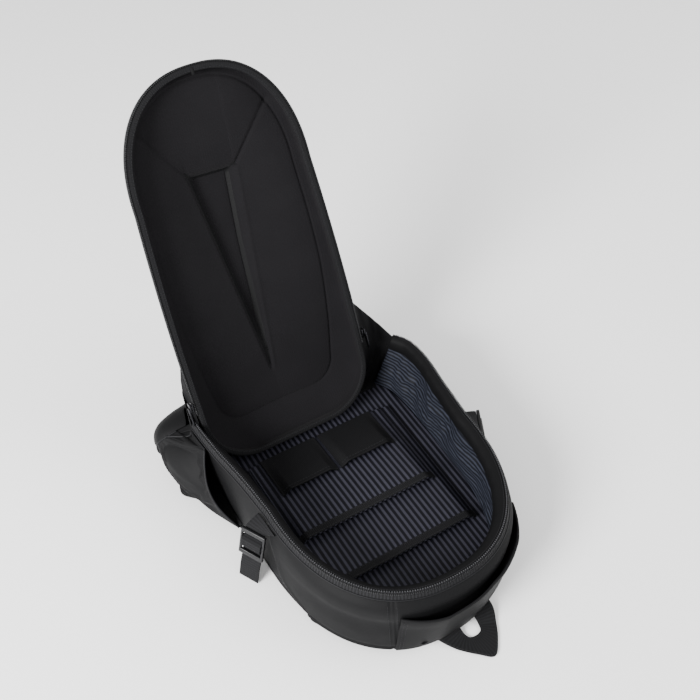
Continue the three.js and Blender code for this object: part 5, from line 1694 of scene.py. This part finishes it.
def gusset_point(side, f, g):
    q = mix(q_at_v(GUSSET_TOP_V), GUSSET_END_Q, f)
    half = GUSSET_THICK / 2
    on_lid = lid_to_bag(lid_rim(q, side, LID_THICK + 2 * CLEAR + half, SEAM_DEPTH))
    on_wall = wall_point(0 if side < 0 else 1, mix(1, GUSSET_FOOT, f), -WALL_THICK / 2)
    on_wall.y += 2 * CLEAR + half
    point = on_lid.lerp(on_wall, g)
    held = math.sin(math.pi * g)
    folds = 2.2 * noise.noise(Vector((f * 2.2 + g, g * 5.0, 3.0 + side)))
    folds += 0.8 * noise.noise(Vector((f * 6, g * 9, 1)))
    point.y += GUSSET_SAG * held + folds * held
    return point


for word, side in (("left", -1), ("right", 1)):
    gusset, *flat = cloth_piece(
        f"gusset_cloth_{word}", 60, 36,
        lambda u, v: gusset_point(side, u, v if side > 0 else 1 - v), GUSSET_THICK - 0.6, [OXFORD],
    )
    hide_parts(f"gusset_{word}")
    cut_area = sum(face.area for face in gusset.data.polygons)
    flat = (flat[0], cut_area / flat[0] / TRIANGLE_SHARE)

lid_edge = lid_to_bag((0, SEAM_DEPTH, -LID_THICK - CLEAR))
STRIP_FLOOR = LINING_HIGH + CLEAR
# share of the strip, y, z
STRIP_PROFILE = [
    (0.0, lid_edge.y, lid_edge.z),
    (0.25, lid_edge.y + HINGE_RUN * 0.4, mix(STRIP_FLOOR + HINGE_THICK, lid_edge.z, 0.3)),
    (0.5, lid_edge.y + HINGE_RUN, STRIP_FLOOR + HINGE_THICK),
    (1.0, BACK_END_Y - 3 * WALL_THICK, STRIP_FLOOR + HINGE_THICK),
]


def strip_face(u, v):
    x = LID_X + mix(-HINGE_HALF_WIDTH, HINGE_HALF_WIDTH, u)
    y, z = from_table(STRIP_PROFILE, v, 1), from_table(STRIP_PROFILE, v, 2)
    return Vector((x, y, max(z, STRIP_FLOOR + HINGE_THICK)))


hinge, *flat = cloth_piece("hinge_strip_cloth", 40, 40, strip_face, HINGE_THICK - 0.3, [OXFORD], bevel=0.3)
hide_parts("hinge_strip")

# %% Sliders and pull tabs
SLIDER_LENGTH, SLIDER_WIDTH, SLIDER_THICK = 11, 8, 4.5
PULL_LENGTH, PULL_WIDTH, PULL_THICK = 22, 6, 1.4
PULL_EYE = (2, 6)


def slider_seat(side):
    q = q_at_v(LID_TAPE_START_V + SLIDER_LENGTH)
    return lid_rim(q, side, LID_THICK + LID_TAPE_THICK + BINDING_PROUD + 3 * CLEAR, 0)


def lid_part(name, bm, material, bevel):
    """A hard part drawn in the lid's own millimetres: bevelled, then carried to the bag."""
    sharp = [e for e in bm.edges if len(e.link_faces) == 2 and e.calc_face_angle() > 0.5]
    bmesh.ops.bevel(bm, geom=sharp, offset=bevel, segments=2, profile=0.5, affect="EDGES", material=-1)
    for vert in bm.verts:
        vert.co = to_row(lid_to_bag(vert.co))
    bmesh.ops.recalc_face_normals(bm, faces=bm.faces)
    return link(name, bm, material)


for word, side in (("left", -1), ("right", 1)):
    spot = slider_seat(side)
    middle = Vector((spot.x + side * SLIDER_THICK / 2, -BINDING_PROUD, spot.z))
    bm = bmesh.new()
    plate = Matrix.Diagonal((SLIDER_THICK * 0.34, SLIDER_WIDTH, SLIDER_LENGTH, 1))
    for shift in (-0.33, 0.33):
        place = Matrix.Translation(middle + Vector((shift * SLIDER_THICK, 0, 0)))
        made = bmesh.ops.create_cube(bm, size=1.0, matrix=place @ plate)
        for vert in made["verts"]:
            if vert.co.z < middle.z:
                vert.co.y = mix(middle.y, vert.co.y, 0.62)
    post = Matrix.Diagonal((SLIDER_THICK * 0.4, SLIDER_WIDTH * 0.3, SLIDER_LENGTH * 0.3, 1))
    bmesh.ops.create_cube(bm, size=1.0, matrix=Matrix.Translation(middle + Vector((0, 0, 3))) @ post)
    slider = lid_part(f"zip_slider_body_{word}", bm, ZINC, 0.45)
    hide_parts(f"zip_slider_{word}")

    bm = bmesh.new()
    bmesh.ops.create_grid(bm, x_segments=3, y_segments=8, size=0.5)
    for vert in bm.verts:
        down = 0.5 - vert.co.y
        taper = 0.62 + 0.38 * math.sin(math.pi * min(down * 0.9 + 0.05, 1)) ** 0.7
        y = vert.co.x * PULL_WIDTH * taper
        out = spot.x + side * (SLIDER_THICK + CLEAR + PULL_THICK / 2)
        vert.co = Vector((out, middle.y + y, spot.z - down * PULL_LENGTH))
    middles = [(face, face.calc_center_median()) for face in bm.faces]
    eye = [face for face, at in middles if abs(at.y - middle.y) < 1 and PULL_EYE[0] < spot.z - at.z < PULL_EYE[1]]
    bmesh.ops.delete(bm, geom=eye, context="FACES")
    bmesh.ops.solidify(bm, geom=bm.faces[:], thickness=PULL_THICK)
    bmesh.ops.recalc_face_normals(bm, faces=bm.faces)
    offset = sum(v.co.x for v in bm.verts) / len(bm.verts) - out
    bmesh.ops.translate(bm, verts=bm.verts, vec=(-offset, 0, 0))
    pull = lid_part(f"zip_pull_tab_{word}", bm, ZINC, 0.3)
    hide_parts(f"zip_pull_{word}")

# %% [markdown]
# ## Padding under the bag
# The bag lies on its back panel and shoulder straps. Both are foam under spacer mesh. The back panel is a
# thick sheet with shallow air channels pressed into its underside, along it and across it.

# %% Back pad
PAD_INSET = WALL_THICK + CLEAR
PAD_CHANNELS, PAD_CROSS_CHANNELS = (-44, 0, 44), (-70, 30, 120)
PAD_CHANNEL_WIDTH, PAD_CHANNEL_DEPTH = 5, 2.4


def pad_underside(x, y):
    channel = sum(bell(x - BACK_CENTRE_X - c, PAD_CHANNEL_WIDTH) for c in PAD_CHANNELS)
    cross = sum(bell(y - c, PAD_CHANNEL_WIDTH) for c in PAD_CROSS_CHANNELS)
    return BACK_LOW + PAD_CHANNEL_DEPTH * min(channel + cross * 0.8, 1.2)


pad, *_ = cloth_piece(
    "back_pad", 81, 99, lambda u, v: panel_sheet(PAD_INSET, pad_underside, BACK_END_Y)(1 - u, v), 5.0, [SPACER],
    weld=True,
)
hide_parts("back_panel")

# %% [markdown]
# A shoulder strap is a long rounded bar of the same foam. Its cross-section is a squared oval, which flattens
# where it rests. From its end a length of webbing runs under the bottom end.

# %% Shoulder straps and lower webbing
STRAP_HALF_WIDTH, STRAP_REACH, STRAP_TOP_Y, STRAP_END_Y = 32, 152, -150, 145
# place along the strap, reach from the centre line, half-width, as shares
STRAP_PLAN = [
    (0.0, 0.23, 0.9),
    (0.2, 0.28, 1.0),
    (0.44, 0.43, 1.0),
    (0.68, 0.69, 0.8),
    (0.88, 0.9, 0.55),
    (0.94, 0.99, 0.57),
    (1.0, 0.97, 0.55),
]


def shoulder_strap_face(side):
    def place(u, v):
        reach = STRAP_REACH * from_table(STRAP_PLAN, u, 1)
        end = min(min(u, 1 - u) * 30, 1.0)
        half = STRAP_HALF_WIDTH * from_table(STRAP_PLAN, u, 2)
        a, b = oval(side * 2 * math.pi * v, half, STRAP_THICK / 2 * math.sqrt(1 - (1 - end) ** 2), 4.0)
        soft = 0.4 * noise.noise(Vector((u * 12, a / 18, side))) if b > 0 else 0.0
        y = mix(STRAP_TOP_Y, STRAP_END_Y, u)
        return Vector((BACK_CENTRE_X + side * reach + a, y, STRAP_THICK / 2 + b - abs(soft)))

    return place


LOWER_WEB_TUCK = 4
for word, side in (("left", -1), ("right", 1)):
    bm, *_ = sheet_mesh(90, 48, shoulder_strap_face(side), weld=True)
    bmesh.ops.holes_fill(bm, edges=[e for e in bm.edges if e.is_boundary], sides=0)
    bmesh.ops.recalc_face_normals(bm, faces=bm.faces)
    strap = link(f"shoulder_strap_pad_{word}", bm, SPACER)
    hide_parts(f"shoulder_strap_{word}")

    start = Vector((BACK_CENTRE_X + side * STRAP_REACH, STRAP_END_Y + CLEAR))
    end = Vector((BACK_CENTRE_X + side * BACK_HALF_WIDTH * 0.75, ROLL_CENTRE_Y + LOWER_WEB_TUCK))
    way = (end - start).normalized()
    half = Vector((-way.y, way.x)) * WEB_WIDTH * 0.35
    top = ROLL_CENTRE_Z - ROLL_RADIUS_Z - CLEAR

    def web(u, v):
        point = start.lerp(end, u) + half * mix(1, -1, v)
        return Vector((point.x, max(point.y, start.y), top))

    webbing, *_ = cloth_piece(f"lower_webbing_strap_{word}", 24, 6, web, WEB_THICK, [WEBBING], bevel=0.3)
    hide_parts(f"lower_webbing_{word}")

# %% [markdown]
# ## Floor and light
# A pale floor and a pale room, with one large soft light from above left and a weaker one from the right, as
# in a packshot studio.

# %% Floor, room and lights
FLOOR_HALF_SIZE, PAPER_COLOUR, PAPER_ROUGHNESS, ROOM_STRENGTH = 4.0, "f7f7f7", 0.9, 1.15
floor_mesh = bmesh.new()
bmesh.ops.create_grid(floor_mesh, x_segments=1, y_segments=1, size=FLOOR_HALF_SIZE)
mesh = bpy.data.meshes.new("floor")
floor_mesh.to_mesh(mesh)
floor_mesh.free()
floor = bpy.data.objects.new("floor", mesh)
bpy.context.scene.collection.objects.link(floor)
paper = bpy.data.materials.new("paper_sweep")
paper.use_nodes = True
paper_shader = paper.node_tree.nodes["Principled BSDF"]
paper_shader.inputs["Base Color"].default_value = srgb(PAPER_COLOUR)
paper_shader.inputs["Roughness"].default_value = PAPER_ROUGHNESS
floor.data.materials.append(paper)

world = bpy.data.worlds.new("pale_room")
world.use_nodes = True
background = world.node_tree.nodes["Background"]
background.inputs["Color"].default_value = (1.0, 1.0, 1.0, 1.0)
background.inputs["Strength"].default_value = ROOM_STRENGTH
bpy.context.scene.world = world


def soft_light(name, place, target, size, power):
    """A round lamp, with places and size in metres and power in watts."""
    data = bpy.data.lights.new(name, "AREA")
    data.shape = "DISK"
    data.size = size
    data.energy = power
    lamp = bpy.data.objects.new(name, data)
    lamp.location = place
    lamp.rotation_euler = (Vector(target) - Vector(place)).to_track_quat("-Z", "Y").to_euler()
    bpy.context.scene.collection.objects.link(lamp)
    return lamp


soft_light("left_key", (-2.05, -0.6, 1.3), (0, 0, 0.12), 1.1, 165)
soft_light("right_fill", (1.6, -0.9, 1.3), (0, 0, 0.15), 1.4, 30)
print("lights set")
